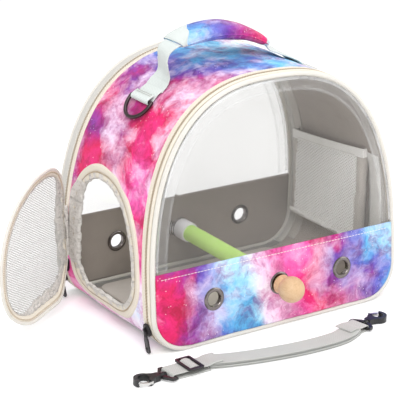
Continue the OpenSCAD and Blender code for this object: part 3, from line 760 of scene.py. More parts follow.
class Coat(Tree):
    """Nodes of a new material with one Principled BSDF."""

    def __init__(self, name: str) -> None:
        """Adds the material and its coordinates, flat ones from the map and places on the object.

        Args:
            name: name of the material.
        """
        self.material = bpy.data.materials.new(name)
        self.material.use_nodes = True
        super().__init__(self.material.node_tree)
        self.shader = self.tree.nodes["Principled BSDF"]
        given = self.add("TexCoord").outputs
        self.flat, self.place = given["UV"], given["Object"]

    def relief(self, height: NodeSocket, depth: float, strength: float = 1.0) -> None:
        """Bump from a height, on top of any bump already there.

        Args:
            height: height between 0 and 1.
            depth: depth in metres.
            strength: share of the effect.
        """
        bump = self.add("Bump", Height=height, Distance=depth, Strength=strength)
        for link in list(self.shader.inputs["Normal"].links):
            self.fill(bump, Normal=link.from_socket)
        self.fill(self.shader, Normal=bump.outputs[0])


@dataclass(frozen=True)
class Finish:
    """Base of all finishes: a named material whose colour and relief come from nodes."""

    name: str

    def dress(self, t: Coat) -> None:
        """Fills the material; each finish has its own."""
        raise NotImplementedError

    def material(self) -> Material:
        """The material, made once."""
        if self.name not in bpy.data.materials:
            self.dress(Coat(self.name))
        return bpy.data.materials[self.name]


@dataclass(frozen=True)
class Cloth(Finish):
    """Plain woven cloth with soft random tone changes, and painted shade between its threads and in its folds."""

    colour: Triple = (200, 200, 200)
    pitch: float = 0.0009
    rib: float = 0.0
    depth: float = 0.00012
    rough: float = 0.85
    sheen: float = 0.25
    mottle: float = 0.12
    wrinkle: float = 0.0

    def dress(self, t: Coat) -> None:
        """Weave in colour and relief over a slow mottle, with painted shade in the weave's low gaps and, when it
        wrinkles, in the creases of its folds.

        Args:
            t: nodes of the material.
        """
        weave = t.group("plain_weave", weave_group, Vector=t.flat, Pitch=self.pitch, Rib=self.rib)
        base = srgb(*self.colour)
        # thread colour darker where the weave is low: painted shade in the gaps between threads
        thread = t.mix("MIX", weave.outputs["Mask"], shade(base, 0.8), shade(base, 1.08, top=0.95))
        slow = t.ramp(t.noise(t.place, 38.0, 4.0), (0.3, 1 - self.mottle), (0.7, 1))
        colour = t.mix("MULTIPLY", 1.0, thread, slow)
        t.relief(weave.outputs["Height"], self.depth)
        if self.wrinkle:
            folds = t.noise(t.vmath("MULTIPLY", t.place, (1.0, 1.0, 2.4)), 210.0, 4.0, 0.6, 0.8)
            # creases of the folds darkened in colour: painted shade
            colour = t.mix("MULTIPLY", 0.8, colour, t.ramp(folds, (0.36, (0.7, 0.68, 0.66, 1)), (0.5, 1)))
            t.relief(folds, self.wrinkle)
        t.fill(t.shader, Base_Color=colour, Roughness=self.rough, Sheen_Weight=self.sheen, Sheen_Roughness=0.5,
               Specular_IOR_Level=0.25)


@dataclass(frozen=True)
class PrintedCanvas(Finish):
    """Smooth canvas with the cloudy dye print."""

    way: Triple = (0.0, 0.0, 0.0)
    first: float = 0.0
    wander: float = 0.6
    pale: float = 0.88

    def dress(self, t: Coat) -> None:
        """Print from object coordinates, weave from the map, darkened in the weave's gaps as painted shade.

        Args:
            t: nodes of the material.
        """
        dye = t.group("cloud_print", cloud_print_group, Vector=t.place, Way=self.way, Start=self.first,
                      Wander=self.wander, Pale=self.pale)
        weave = t.group("plain_weave", weave_group, Vector=t.flat, Pitch=0.0007)
        # darker where the weave is low: painted shade between the threads
        thread = t.mix("MIX", weave.outputs["Mask"], (0.92, 0.92, 0.92, 1), (1, 1, 1, 1))
        t.fill(t.shader, Base_Color=t.mix("MULTIPLY", 1.0, dye.outputs[0], thread), Roughness=0.58,
               Specular_IOR_Level=0.35, Sheen_Weight=0.08)
        t.relief(weave.outputs["Height"], 0.00005)


@dataclass(frozen=True)
class ClearVinyl(Finish):
    """Clear soft sheet."""

    tint: Colour = (0.84, 0.838, 0.832, 1)

    def dress(self, t: Coat) -> None:
        """Thin clear sheet that lets the light through to what is behind.

        Args:
            t: nodes of the material.
        """
        t.fill(t.shader, Base_Color=self.tint, Roughness=0.04, IOR=1.4, Transmission_Weight=1.0)
        t.relief(t.noise(t.place, 16.0, 2.0), 0.0012, 0.35)
        path = t.add("LightPath").outputs
        share = t.math("MAXIMUM", path["Is Shadow Ray"], path["Is Diffuse Ray"])
        clear = t.add("BsdfTransparent")
        mix = t.add("MixShader", i0=share, i1=t.shader.outputs[0], i2=clear.outputs[0])
        t.fill(t.tree.nodes["Material Output"], Surface=mix.outputs[0])


@dataclass(frozen=True)
class WeldedVinyl(Finish):
    """Milky strip where clear vinyl is doubled or welded; its pale whiteness is a painted highlight along the window's
    edge.
    """

    share: float = 0.4

    def dress(self, t: Coat) -> None:
        """Pale and half clear, uneven along its length: a painted highlight over the clear sheet.

        Args:
            t: nodes of the material.
        """
        slow = t.noise(t.place, 40.0, 3.0)
        t.fill(t.shader, Alpha=t.times(t.plus(slow, 0.5), self.share), Roughness=0.22,
               Base_Color=t.ramp(slow, (0.3, srgb(226, 228, 230)), (0.7, srgb(250, 250, 250))))
        t.relief(slow, 0.0004)


@dataclass(frozen=True)
class MouldedPlastic(Finish):
    """Moulded plastic whose handling marks change colour and gloss.

    worn is the marks' gain and lift in colour, dull their gain and offset in roughness,
    bump the depth and strength of their relief.
    """

    colour: Triple = (24, 24, 26)
    rough: float = 0.35
    metal: float = 0.0
    amount: float = 0.5
    worn: tuple[float, float] = (1.25, 0.012)
    dull: tuple[float, float] = (0.2, 0.05)
    bump: tuple[float, float] = (0.00004, 0.5)

    def dress(self, t: Coat) -> None:
        """Marks in colour, gloss and relief.

        Args:
            t: nodes of the material.
        """
        marks = t.group("handling_marks", wear_group, Vector=t.place, Amount=self.amount).outputs
        base = srgb(*self.colour)
        gain, less = self.dull
        rough = t.plus(t.times(marks["Mask"], gain), self.rough - less)
        t.fill(t.shader, Base_Color=t.mix("MIX", marks["Mask"], base, shade(base, *self.worn)), Roughness=rough,
               Metallic=self.metal)
        t.relief(marks["Height"], *self.bump)


@dataclass(frozen=True)
class PlatedMetal(MouldedPlastic):
    """Dark plated metal with the same kind of marks."""

    metal: float = 1.0
    amount: float = 0.8
    worn: tuple[float, float] = (1.7, 0.02)
    dull: tuple[float, float] = (0.25, 0.08)
    bump: tuple[float, float] = (0.00002, 0.4)


@dataclass(frozen=True)
class TurnedMaple(Finish):
    """Light turned wood with rings along the turning axis."""

    def dress(self, t: Coat) -> None:
        """Long grain and faint rings.

        Args:
            t: nodes of the material.
        """
        long = t.vmath("MULTIPLY", t.place, (1.0, 0.25, 1.0))
        grain = t.noise(long, 900.0, 4.0, 0.6)
        tone = t.weigh(t.noise(long, 110.0, 3.0, 0.5, 0.6), 0.6, grain, 0.4)
        colour = t.ramp(tone, (0.34, srgb(194, 156, 116)), (0.5, srgb(211, 176, 136)), (0.68, srgb(222, 190, 152)))
        t.fill(t.shader, Base_Color=colour, Roughness=0.5)
        t.relief(grain, 0.00008)


@dataclass(frozen=True)
class GritDowel(Finish):
    """Dowel with a rough coloured coat."""

    def dress(self, t: Coat) -> None:
        """Grains in colour and relief.

        Args:
            t: nodes of the material.
        """
        grit = t.add("TexVoronoi", Vector=t.place, Scale=1300.0).outputs[0]
        tone = t.weigh(grit, 0.5, t.noise(t.place, 160.0, 3.0), 0.5)
        colour = t.ramp(tone, (0.2, srgb(198, 252, 108)), (0.8, srgb(220, 255, 156)))
        t.fill(t.shader, Base_Color=colour, Roughness=0.9)
        t.relief(grit, 0.0003)


SMOOTH = {"depth": 0.00005, "rough": 0.75, "sheen": 0.1}
FINE = {"depth": 0.00003, "rough": 0.7}

PRINT_BODY = PrintedCanvas("print_body", (1.6, 1.2, 1.4), 0.86, 0.8)
PRINT_BAND = PrintedCanvas("print_band", (4.9, 0.0, 1.2), 0.52, 0.8, 0.55)
PRINT_GRIP = PrintedCanvas("print_grip", (-4.4, 0.0, 0.0), 0.19, 0.3, 0.5)
LINING = Cloth("lining_cloth", (176, 166, 158), 0.0006, mottle=0.1, **SMOOTH)
FACING = Cloth("lining_facing", (196, 189, 182), 0.0006, mottle=0.1, **SMOOTH)
FLOOR_CLOTH = Cloth("floor_cloth", (214, 206, 199), 0.0006, mottle=0.08, **SMOOTH)
BASE_CLOTH = Cloth("base_cloth", (150, 146, 142), 0.001)
CREAM_TAPE = Cloth("cream_tape", (240, 231, 215), 0.0007, 0.6, mottle=0.06)
CREAM_BIND = Cloth("cream_binding", (236, 226, 210), 0.0008, 0.5, mottle=0.06)
PIPE_CLOTH = Cloth("piping_cloth", (234, 230, 222), 0.0006, 0.3, mottle=0.05)
BACK_TAPE = Cloth("back_tape_cloth", (212, 209, 203), 0.0006, 0.3, mottle=0.05)
FRILL = Cloth("crumpled_trim", (240, 234, 228), 0.0011, 0.7, 0.00025, mottle=0.1, wrinkle=0.003)
ELASTIC = Cloth("grey_elastic", (250, 245, 240), 0.001, 0.8, 0.0002)
WEBBING = Cloth("pale_webbing", (224, 231, 228), 0.0013, 0.55, 0.0003, 0.8, mottle=0.06)
STRAP = Cloth("grey_strap", (200, 201, 197), 0.0013, 0.55, 0.0003, 0.8, mottle=0.08)
NET = Cloth("white_net", (188, 186, 182), 0.0005, mottle=0.04, **FINE)
# brighter copy of the white net for the pocket inside: painted light that makes up for the shade there
LIT_POCKET_NET = Cloth("pocket_net", (255, 250, 245), 0.0005, mottle=0.0, **FINE)
COIL = MouldedPlastic("zip_coil", (172, 154, 130), 0.45)
THREAD = MouldedPlastic("pale_thread", (232, 226, 216), 0.6)
DARK_THREAD = MouldedPlastic("grey_thread", (150, 145, 138), 0.6)
VINYL = ClearVinyl("clear_vinyl")
# pale strips on the window's edge: painted highlight lines and a painted lighter band
EDGE_HIGHLIGHT_LINE = WeldedVinyl("welded_vinyl", 0.34)
INNER_HIGHLIGHT_LINE = WeldedVinyl("welded_line", 0.16)
EDGE_HIGHLIGHT_BAND = WeldedVinyl("doubled_vinyl", 0.1)
EYELET = PlatedMetal("gunmetal_eyelet", (104, 98, 96), 0.24)
WIRE = PlatedMetal("dark_wire", (66, 56, 58), 0.35)
ZIP_METAL = PlatedMetal("zip_slider", (58, 56, 58), 0.4)
STEEL = PlatedMetal("zinc_bolt", (178, 178, 176), 0.3)
BLACK = MouldedPlastic("black_moulding", (20, 20, 22), 0.32)
CAP_WHITE = MouldedPlastic("white_cap", (248, 249, 255), 0.4)
MAPLE = TurnedMaple("turned_maple")
GRIT = GritDowel("grit_coat")


def paint(node: str, finish: Finish) -> None:
    """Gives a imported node, whose shape stays, its finish.

    Args:
        node: name of the CAD node.
        finish: its finish.
    """
    obj = next(o for o in bpy.context.scene.objects if o.get("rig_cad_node") == node)
    obj.data.materials.clear()
    obj.data.materials.append(finish.material())


@dataclass
class SubAssembly:
    """Base of the carrier's sub-assemblies."""

    body: str = "carrier"
    made: list[str] = field(default_factory=list)

    def put(self, obj: Object, finish: Finish, slot: str, *nodes: str, body: str | None = None) -> Object:
        """Dresses a finished piece and ties it to the frame.

        Args:
            obj: the piece.
            finish: its finish.
            slot: material slot of the record; not used.
            nodes: CAD nodes that it stands for.
            body: CAD body that it moves with, if not the sub-assembly's own.

        Returns:
            The piece.
        """
        obj.data.materials.clear()
        obj.data.materials.append(finish.material())
        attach(obj, body or self.body)
        if nodes:
            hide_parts(*nodes)
        self.made.append(obj.name)
        return obj

    def build(self) -> None:
        """Makes the sub-assembly's pieces."""
        raise NotImplementedError

    def run(self) -> None:
        """Builds and reports."""
        self.build()
        log.info("%s: %s", type(self).__name__, ", ".join(self.made))


@dataclass(frozen=True)
class OpeningOutline:
    """Egg-shaped outline of the side door, in depth and height."""

    rear: float = 0.065
    front: float = -0.066
    top: float = 0.158
    bottom: float = 0.017

    def loop(self, inset: float = 0.0, count: int = 260) -> Array:
        """Even points on the outline moved inward, closed, against the clock.

        Args:
            inset: distance inward.
            count: number of points.

        Returns:
            (count, 2) depths and heights.
        """
        low = self.bottom + 0.048
        arcs = ((self.rear - 0.044, self.top - 0.044, 0.044, 0.044),
                (self.rear - 0.05, low, self.rear - 0.05 - self.front, self.top - low),
                (self.front + 0.046, self.bottom + 0.045, 0.046, 0.045),
                (self.rear - 0.042, self.bottom + 0.042, 0.042, 0.042))
        return four_arcs(((cy, cz, ry - inset, rz - inset) for cy, cz, ry, rz in arcs), 40, count)

    @staticmethod
    def inward(loop: Array) -> Array:
        """Inward directions in the flat outline."""
        way = unit(np.roll(loop, -1, axis=0) - np.roll(loop, 1, axis=0))
        return points(-way[:, 1], way[:, 0])


OUTLINE = OpeningOutline()


def wall_point(flat: Array, out: Array | float) -> Array:
    """Places on the left wall at a depth and height, out in front of the wrap's face."""
    x, z = ARCH.at(ARCH.length_at(flat[..., 1], left=True), out)
    return points(x, flat[..., 0], z)


def loop_rings(loop: Array, section: Array | Pairs) -> Array:
    """Sections along the opening's edge.

    Args:
        loop: (n, 2) outline.
        section: pairs of inset and height, the same everywhere or one list for each outline point.

    Returns:
        (n, k, 3) sections on the left wall.
    """
    section = np.broadcast_to(section, (len(loop), *np.shape(section)[-2:]))
    return wall_point(loop[:, None] + section[..., :1] * OUTLINE.inward(loop)[:, None], section[..., 1])


def wall_row(loop: Array, inset: float, out: float) -> tuple[Array, Array, Array]:
    """Places, directions and normals of a row that follows an outline on the wall.

    Args:
        loop: (n, 2) outline.
        inset: distance of the row inward.
        out: distance in front of the wall.

    Returns:
        Three (n, 3) arrays.
    """
    inward = OUTLINE.inward(loop)
    line = loop + inward * inset
    at = wall_point(line, out)
    normal = unit(wall_point(line, 0.001) - wall_point(line, 0.0))
    return at, wall_point(line + inward * 0.001, out) - at, normal


def foot_share(loop: Array) -> Array:
    """How far each outline point belongs to the lower rear curve, 0 to 1."""
    return fade(loop[:, 0], -0.045, 0.035) * fade(loop[:, 1], 0.065, -0.025)


def hinge_share(loop: Array) -> Array:
    """How far each outline point belongs to the hinge edge, 0 to 1.

    Args:
        loop: (n, 2) outline of the opening.

    Returns:
        A share for each point.
    """
    y, z = loop.T
    near = fade(y, 0.03, 0.03)
    return near * near * (3 - 2 * near) * fade(z, 0.038, 0.016) * fade(z, 0.15, -0.03)


@dataclass
class Wrap(SubAssembly):
    """Printed wrap with its lining, the base cloth and the floor pad."""

    print_t: float = 0.0012
    lining_t: float = 0.0009
    base_t: float = 0.0016
    facing_t: float = 0.0004
    facing_w: float = 0.013
    pad_half_w: float = 0.111
    pad_front: float = -0.0813
    pad_rear: float = 0.0763
    pad_corner: float = 0.012

    def strip(self, s: Array, depth: float, out: float, rows: int, border: float = SIZES.back_border) -> Array:
        """Grid of points between the two ends.

        Args:
            s: lengths round the arch.
            depth: depth behind both end planes.
            out: distance outward.
            rows: columns from front to back.
            border: extra depth at the back.

        Returns:
            (n, rows, 3) points.
        """
        x, z = (q[:, None] for q in ARCH.at(s, out))
        front, back = end_y(Side.FRONT, z, depth), end_y(Side.BACK, z, depth + border)
        return points(x, front + (back - front) * np.linspace(0, 1, rows), z)

    def layer(self, name: str, s: Array, grid: Array, move: Array, hole: float, thickness: float) -> Object:
        """Cloth moved off its grid, with the door's hole cut out at an inset.

        Args:
            name: object name.
            s: lengths of the grid's rows.
            grid: (n, m, 3) points.
            move: distance outward of each point.
            hole: inset of the hole.
            thickness: cloth thickness.

        Returns:
            The object.
        """
        grid = grid + move[..., None] * ARCH.normal(s)[:, None]
        mid = middles(grid)
        gone = inside(mid[..., 1:], OUTLINE.loop(hole)) & (mid[..., 0] < -0.05)
        return sheet(name, grid, thickness, ~gone, flip=True)

    def build(self) -> None:
        """Print outside, lining inside."""
        low = ARCH.length_at(SIZES.base_cut)
        s = np.linspace(low, ARCH.total - low, 420)
        grid = self.strip(s, SIZES.body_tape[1] - 0.0016, 0.0, 110)
        edge = np.sin(np.linspace(0, math.pi, grid.shape[1]))[None] ** 0.5
        streak = ripples(grid * [0.25, 1.0, 1.0], [(0.012, 0.0005)], 8)
        streak = streak * np.exp(-((grid[..., 2] - 0.252) / 0.016) ** 2)
        move = (ripples(grid, [(0.09, 0.0007), (0.03, 0.00022)], 3) + 0.0002 + streak) * edge
        cloth = self.layer("wrap_print", s, grid, np.minimum(move, 0.0009), 0.004, self.print_t)
        self.put(cloth, PRINT_BODY, "print", "gusset_print")

        s = np.linspace(0, ARCH.total, 460)
        grid = self.strip(s, SIZES.coil[1] + 0.0004, -0.002, 110)
        move = np.clip(ripples(grid, [(0.11, 0.001), (0.04, 0.0005)], 11) - 0.0002, -0.0009, 0.0001) * edge
        cloth = self.layer("wrap_lining", s, grid, move, 0.0095, self.lining_t)
        self.put(cloth, LINING, "lining", "gusset_lining")

        for side in Side:
            self.facing(side)
        grid = self.strip(np.linspace(-low, low, 90), SIZES.tape[0], 0.0, 60, 0.0)
        grid[..., 2] = np.maximum(grid[..., 2], 0.0001)
        self.put(sheet("base_cloth", grid, self.base_t, flip=True), BASE_CLOTH, "lining", "base_panel")
        self.floor()

    def facing(self, side: Side) -> None:
        """Lighter strip that covers the lining's raw edge.

        Args:
            side: the end it runs along.
        """
        s = np.linspace(0.14, ARCH.total - 0.14, 300)
        near = SIZES.coil[1] + 0.0003 + side.border
        rows = []
        for k, depth in enumerate(np.linspace(near, near + self.facing_w, 9)):
            lift = ripples(end_line(side, s, depth, 0), [(0.02, 0.00022), (0.05, 0.0003)], 90 + k // 3)
            line = end_line(side, s, depth, -0.0034 - 0.0004 * math.sin(k * math.pi / 8))
            rows.append(line + lift[:, None] * ARCH.normal(s))
        strip = sheet(f"{side.word}_lining_facing", np.stack(rows, axis=1), self.facing_t, flip=side is Side.BACK)
        self.put(strip, FACING, "lining")

    def floor(self) -> None:
        """Lined board on the floor with a soft rolled edge."""
        r = self.pad_corner
        rings = []
        for inset, z in ((0.0, 0.0032), (0.0, 0.005), (0.0007, 0.0058), (0.002, 0.00605), (0.012, 0.00605),
                         (0.04, 0.006)):
            turn, rest = max(r - inset, 0.001), max(inset - (r - 0.001), 0)
            x, rear, front = self.pad_half_w - r - rest, self.pad_rear - r - rest, self.pad_front + r + rest
            corners = ((x, rear), (-x, rear), (-x, front), (x, front))
            flat = four_arcs(((cx, cy, turn, turn) for cx, cy in corners), 8, 240)
            rings.append(points(flat[:, 0], flat[:, 1], z))
        grid = np.array(rings)
        grid[3:, :, 2] -= np.clip(ripples(grid[3:], [(0.05, 0.0005)], 21), 0, 0.0006)
        self.put(loft("floor_pad", grid), FLOOR_CLOTH, "board", "floor_board")


@dataclass
class EndZip(SubAssembly):
    """Zipper that joins one end panel to the wrap."""

    side: Side = Side.FRONT
    tooth_pitch: float = 0.0016

    def stations(self, clear: float, count: int = 520) -> Array:
        """Lengths from one lower corner over the arch to the other."""
        low = ARCH.length_at(SIZES.base_cut + clear)
        return np.linspace(low, ARCH.total - low, count)

    def build(self) -> None:
        """Two tapes, the coil between them and their stitches."""
        side, word, border = self.side, self.side.word, self.side.border
        panel, edge = f"{word}_panel", SIZES.tape[1] + border
        profile = pillow(SIZES.tape[0], edge, -0.0015, -0.0001, 0.00035)
        tape = loft(f"{word}_tape_panel_side", end_rings(side, self.stations(0.0005), profile))
        self.put(tape, BACK_TAPE if border else CREAM_TAPE, "trim", f"{word}_panel_tape", body=panel)
        s = self.stations(0.0)
        a, b = (d + border for d in SIZES.body_tape)
        tape = loft(f"{word}_tape_body_side", end_rings(side, s, pillow(a, b, -0.0015, 0.0001, 0.00055)))
        self.put(tape, CREAM_BIND, "trim", f"{word}_tape")
        for depth, lift, tag, owner in ((a + 0.0012, 0.00058, "a", None), (b - 0.0014, 0.00058, "b", None),
                                        (edge - 0.001, 0.00018, "c", panel)):
            line = end_line(side, s[3:-3], depth, lift)
            self.put(stitches(f"{word}_zip_seam_{tag}", line, ARCH.normal(s[3:-3])), THREAD, "trim", body=owner)
        self.teeth()

    def teeth(self) -> None:
        """Meshed coil: alternate turns reach over from both tapes."""
        side = self.side
        n = int((ARCH.total - 2 * ARCH.length_at(SIZES.base_cut + 0.001)) / self.tooth_pitch)
        s = self.stations(0.001, n)
        near, far = (d + side.border for d in SIZES.coil)
        mid = (near + far) / 2 + np.where(np.arange(n) % 2 == 0, -0.0003, 0.0003)
        at, ahead = (end_line(side, s, mid + more, 0.0001) for more in (0.0, 0.001))
        row = row_of(f"{side.word}_zip_teeth", capsule(0.0021, 0.00062, 6), at, ahead - at, ARCH.normal(s))
        self.put(row, COIL, "coil", f"{side.word}_coil")
        strip = end_rings(side, s[::2], [(near, -0.0014), (near, -0.0005), (far, -0.0005), (far, -0.0014)])
        self.put(loft(f"{side.word}_zip_bed", strip), CREAM_TAPE, "coil")


@dataclass
class EndPanel(SubAssembly):
    """Clear window over a printed band, edged with piping."""

    side: Side = Side.FRONT
    rim: float = 0.005
    cells: int = 170
    hem_seam: float = 0.0046
    eyelet_hole: float = 0.0097

    def place(self, x: Array, z: Array, depth: Array | float) -> Array:
        """Points of the leaning panel."""
        return points(x, end_y(self.side, z, depth), z)

    def half_width(self, z: Array, inset: float) -> Array:
        """Half width of the panel at a height, inside its rim.

        Args:
            z: heights.
            inset: distance inside the arch.

        Returns:
            Half widths.
        """
        x, height = ARCH.at(np.linspace(0, ARCH.total / 2, 1500), -inset)
        order = np.argsort(height)
        return np.interp(z, height[order], x[order])

    def build(self) -> None:
        """Piping, window, band, lining and stitches."""
        self.body = f"{self.side.word}_panel"
        self.piping()
        self.window()
        self.band()
        paint(f"{self.side.word}_grommets", EYELET)

    def piping(self) -> None:
        """Covered cord with its sewn flange."""
        word, r = self.side.word, SIZES.piping_r
        s = np.linspace(0, ARCH.total, 520, endpoint=False)
        line = end_line(self.side, s, r - 0.002, -r - 0.0001)
        wob = 1 + ripples(line, [(0.03, 0.02)], 5)
        line[:, 2] = np.maximum(line[:, 2], r * 1.02)
        cord = tube(f"{word}_piping_cord", line, r * wob, 14, closed=True)
        self.put(cord, PIPE_CLOTH, "piping", f"{word}_piping")
        seam = end_line(self.side, np.r_[s, s[:1]], -0.001, -2 * r - 0.0001)
        seam = stitches(f"{word}_piping_seam", seam, [0, self.side.value, 0], 0.0026, 0.0018, 0.0002)
        self.put(seam, THREAD, "piping")

    def window(self) -> None:
        """Clear sheet with a soft belly and a doubled edge, whose pale strips are painted highlights."""
        back = self.side is Side.BACK
        low = ARCH.length_at(SIZES.band_h - 0.007)
        s = np.linspace(low, ARCH.total - low, 300)
        x, z = ARCH.at(s, -self.rim)
        centre = 0.135
        share = np.r_[0.0008, 0.0014, 0.003, 0.007, 0.016, np.linspace(0.035, 0.84, 25), 0.87, 0.89, 0.905,
                      0.92:1.01:0.02][:, None]
        px = share * np.r_[x, np.linspace(x[-1], x[0], 120)[1:-1]]
        pz = centre + share * (np.r_[z, np.full(118, z[0])] - centre)
        ridge = 0.0009 * np.exp(-(((share - 0.895) / 0.022) ** 2))
        belly = (1 - share**2) * (0.0024 + ripples(self.place(px, pz, 0.0), [(0.12, 0.0007)], 31)) + ridge
        grid = self.place(px, pz, -belly * fade(pz, SIZES.band_h + 0.004, 0.03))
        pane = sheet(f"{self.side.word}_window_pane", grid, 0.0006, flip=back, round_v=True)
        self.put(pane, VINYL, "window", f"{self.side.word}_window")
        edge = s[z > SIZES.band_h + 0.002]
        # pale half-clear strips along the edge: the doubled vinyl is real, their whiteness is painted highlight lines
        # and a painted lighter band
        for k, (inner, wide, finish) in enumerate(((0.0017, 0.0016, EDGE_HIGHLIGHT_LINE), (0.0122, 0.0014, INNER_HIGHLIGHT_LINE),
                                                   (0.0068, 0.0048, EDGE_HIGHLIGHT_BAND))):
            rows = [end_line(self.side, edge, -0.0009 - 0.0004 * math.cos(q * math.pi / 2),
                             -self.rim - inner + q * wide) for q in (-1, -0.5, 0, 0.5, 1)]
            strip = sheet(f"{self.side.word}_window_welt_{k}", np.stack(rows, axis=1), 0, flip=back)
            self.put(strip, finish, "window")

    def band(self) -> None:
        """Printed band with a folded hem, and its lining."""
        word, front = self.side.word, self.side is Side.FRONT
        low = SIZES.piping_r * 2 + 0.0004
        pz = (low + (SIZES.band_h - low) * np.linspace(0, 1, 62))[:, None]
        half = self.half_width(pz, self.rim - 0.0002)
        px = half * np.linspace(-1, 1, self.cells)
        pz = np.broadcast_to(pz, px.shape)
        grid = self.place(px, pz, self.band_depth(px, pz))
        mid = middles(grid)
        kept = self.from_eyelet(mid[..., 0], mid[..., 2]) >= self.eyelet_hole
        self.put(sheet(f"{word}_band_print", grid, 0.001, kept, flip=front), PRINT_BAND, "print", f"{word}_band")

        sag = np.clip(ripples(self.place(px, pz, 0.0), [(0.06, 0.0006)], 43), -0.0006, 0.0002)
        inner = self.place(px, pz, 0.0016 - sag * fade(self.from_eyelet(px, pz), 0.011, 0.01))
        cloth = sheet(f"{word}_band_lining_cloth", inner, 0.0008, kept, flip=not front)
        self.put(cloth, LINING, "lining", f"{word}_band_lining")

        top = np.linspace(-1, 1, 200) * (half[-1] - 0.001)
        hem = self.place(top, SIZES.band_h, -0.0004)
        self.put(tube(f"{word}_band_hem", hem, 0.0011, 10, flat=0.75), PRINT_BAND if front else LINING, "print")
        top, high = top[3:-3], SIZES.band_h - self.hem_seam
        line = self.place(top, high, self.band_depth(top, high) - 0.0001)
        seam = stitches(f"{word}_band_seam", line, [0, self.side.value, 0], 0.0038, 0.0028, 0.00032)
        self.put(seam, THREAD, "print")

    @staticmethod
    def from_eyelet(x: Array, z: Array | float) -> Array:
        """Distance from the nearest eyelet's middle."""
        return np.min([np.hypot(x - k * SIZES.eyelet_gap, z - SIZES.eyelet_z) for k in (-1, 0, 1)], axis=0)

    def band_depth(self, x: Array, z: Array | float) -> Array:
        """Depth of the band's printed face: puffed between seams, flat at eyelets.

        Args:
            x: distance from the middle.
            z: height.

        Returns:
            Depths behind the end plane, negative in front of it.
        """
        flat = fade(self.from_eyelet(x, z), 0.0115, 0.012) * fade(self.half_width(z, self.rim) - np.abs(x), 0, 0.008)
        below = SIZES.band_h - z
        flat = flat * fade(below, 0, 0.012) * (1 - 0.55 * np.exp(-(((below - self.hem_seam) / 0.0014) ** 2)))
        puff = flat * (0.0008 + ripples(self.place(x, z, 0.0), [(0.05, 0.0009), (0.018, 0.0002)], 41))
        return -0.00125 - np.clip(puff, -0.0001, 0.0016)


@dataclass
class SideOpening(SubAssembly):
    """Binding, zip and crumpled lip of the opening."""

    tooth_pitch: float = 0.0017
    lip_start: float = 0.0066
    lip_w: float = 0.0128
    lip_top: float = 0.0011

    def build(self) -> None:
        """Outer binding with its zip, and the lip that turns inside."""
        loop = OUTLINE.loop()
        roll = np.array([(-0.0004, -0.001), (-0.0006, 0.0001), (0.0008, 0.0008), (0.003, 0.00105), (0.0054, 0.0009),
                         (0.0068, 0.0002), (0.0068, -0.0016), (0.003, -0.0018)])
        under_door = np.where(roll[:, 1] > 0, 1 - 0.65 * hinge_share(loop)[:, None], 1)
        binding = points(roll[:, 0], roll[:, 1] * under_door)
        self.put(loft("opening_binding", loop_rings(loop, binding), True), CREAM_BIND, "trim", "opening_rim")
        tape = [(0.006, -0.001), (0.006, 0.0001), (0.0075, 0.0003), (0.01, 0.0003), (0.0126, 0.0001),
                (0.0132, -0.0008), (0.01, -0.0012)]
        self.put(loft("opening_zip_tape", loop_rings(loop, tape), True), CREAM_TAPE, "trim")
        self.put(loft("opening_lip", loop_rings(loop, self.lip(loop)), True), FRILL, "strip", "opening_strip")
        dense = OUTLINE.loop(0.0, int(0.42 / self.tooth_pitch))
        places, along, normal = wall_row(dense, 0.0074, 0.0004)
        teeth = row_of("opening_zip_teeth", capsule(0.0016, 0.0005, 5), places, along, normal)
        self.put(teeth, COIL, "coil")
        line = wall_row(dense, 0.0014, 0.00095)[0]
        line, up = (np.vstack([q, q[:1]]) for q in (line, normal))
        self.put(stitches("opening_seam", line, up, 0.0026, 0.0018, 0.0002), THREAD, "trim")

    def lip(self, loop: Array) -> Array:
        """Gathered strip that wraps the cut edge, as insets and heights round the outline.

        Args:
            loop: (n, 2) outline of the opening.

        Returns:
            (n, k, 2) insets and heights.
        """
        n, hinge = len(loop), hinge_share(loop)
        share = np.maximum(hinge, 0.6 * foot_share(loop))
        s = points(0.0, loop[:, 0], loop[:, 1])
        crumple = ripples(s, [(0.0065, 0.001), (0.016, 0.0012)], 51)
        scallop = 0.0009 * np.sin(np.arange(n) * math.tau * 26 / n)
        edge = self.lip_w + 0.0052 * share + scallop * (1 - share) + crumple * 0.5
        base = self.lip_w - 0.0165 * hinge
        rows = []
        for f, lift in ((self.lip_start, -0.0002), (0.0072, 0.0003), (0.45, 0.0002), (0.72, 0.0008), (0.93, 0.0004),
                        (1.0, -0.0008), (0.97, -0.0026), (0.7, -0.0034), (0.4, -0.0036), (0.0055, -0.0034),
                        (0.0052, -0.0015)):
            start = f < 0.01
            inset = f - 0.0107 * hinge if start else base + (np.maximum(edge, base + 0.0006) - base) * f
            wave = ripples(s + f, [(0.007, 0.0009)], 53) * (0 if start else min(1, 4 * f))
            cover = 0.0007 * hinge * (lift > -0.0003)
            rows.append(points(inset, np.minimum(lift + cover + np.clip(wave, -0.0008, 0.0008), self.lip_top)))
        return np.stack(rows, axis=1)


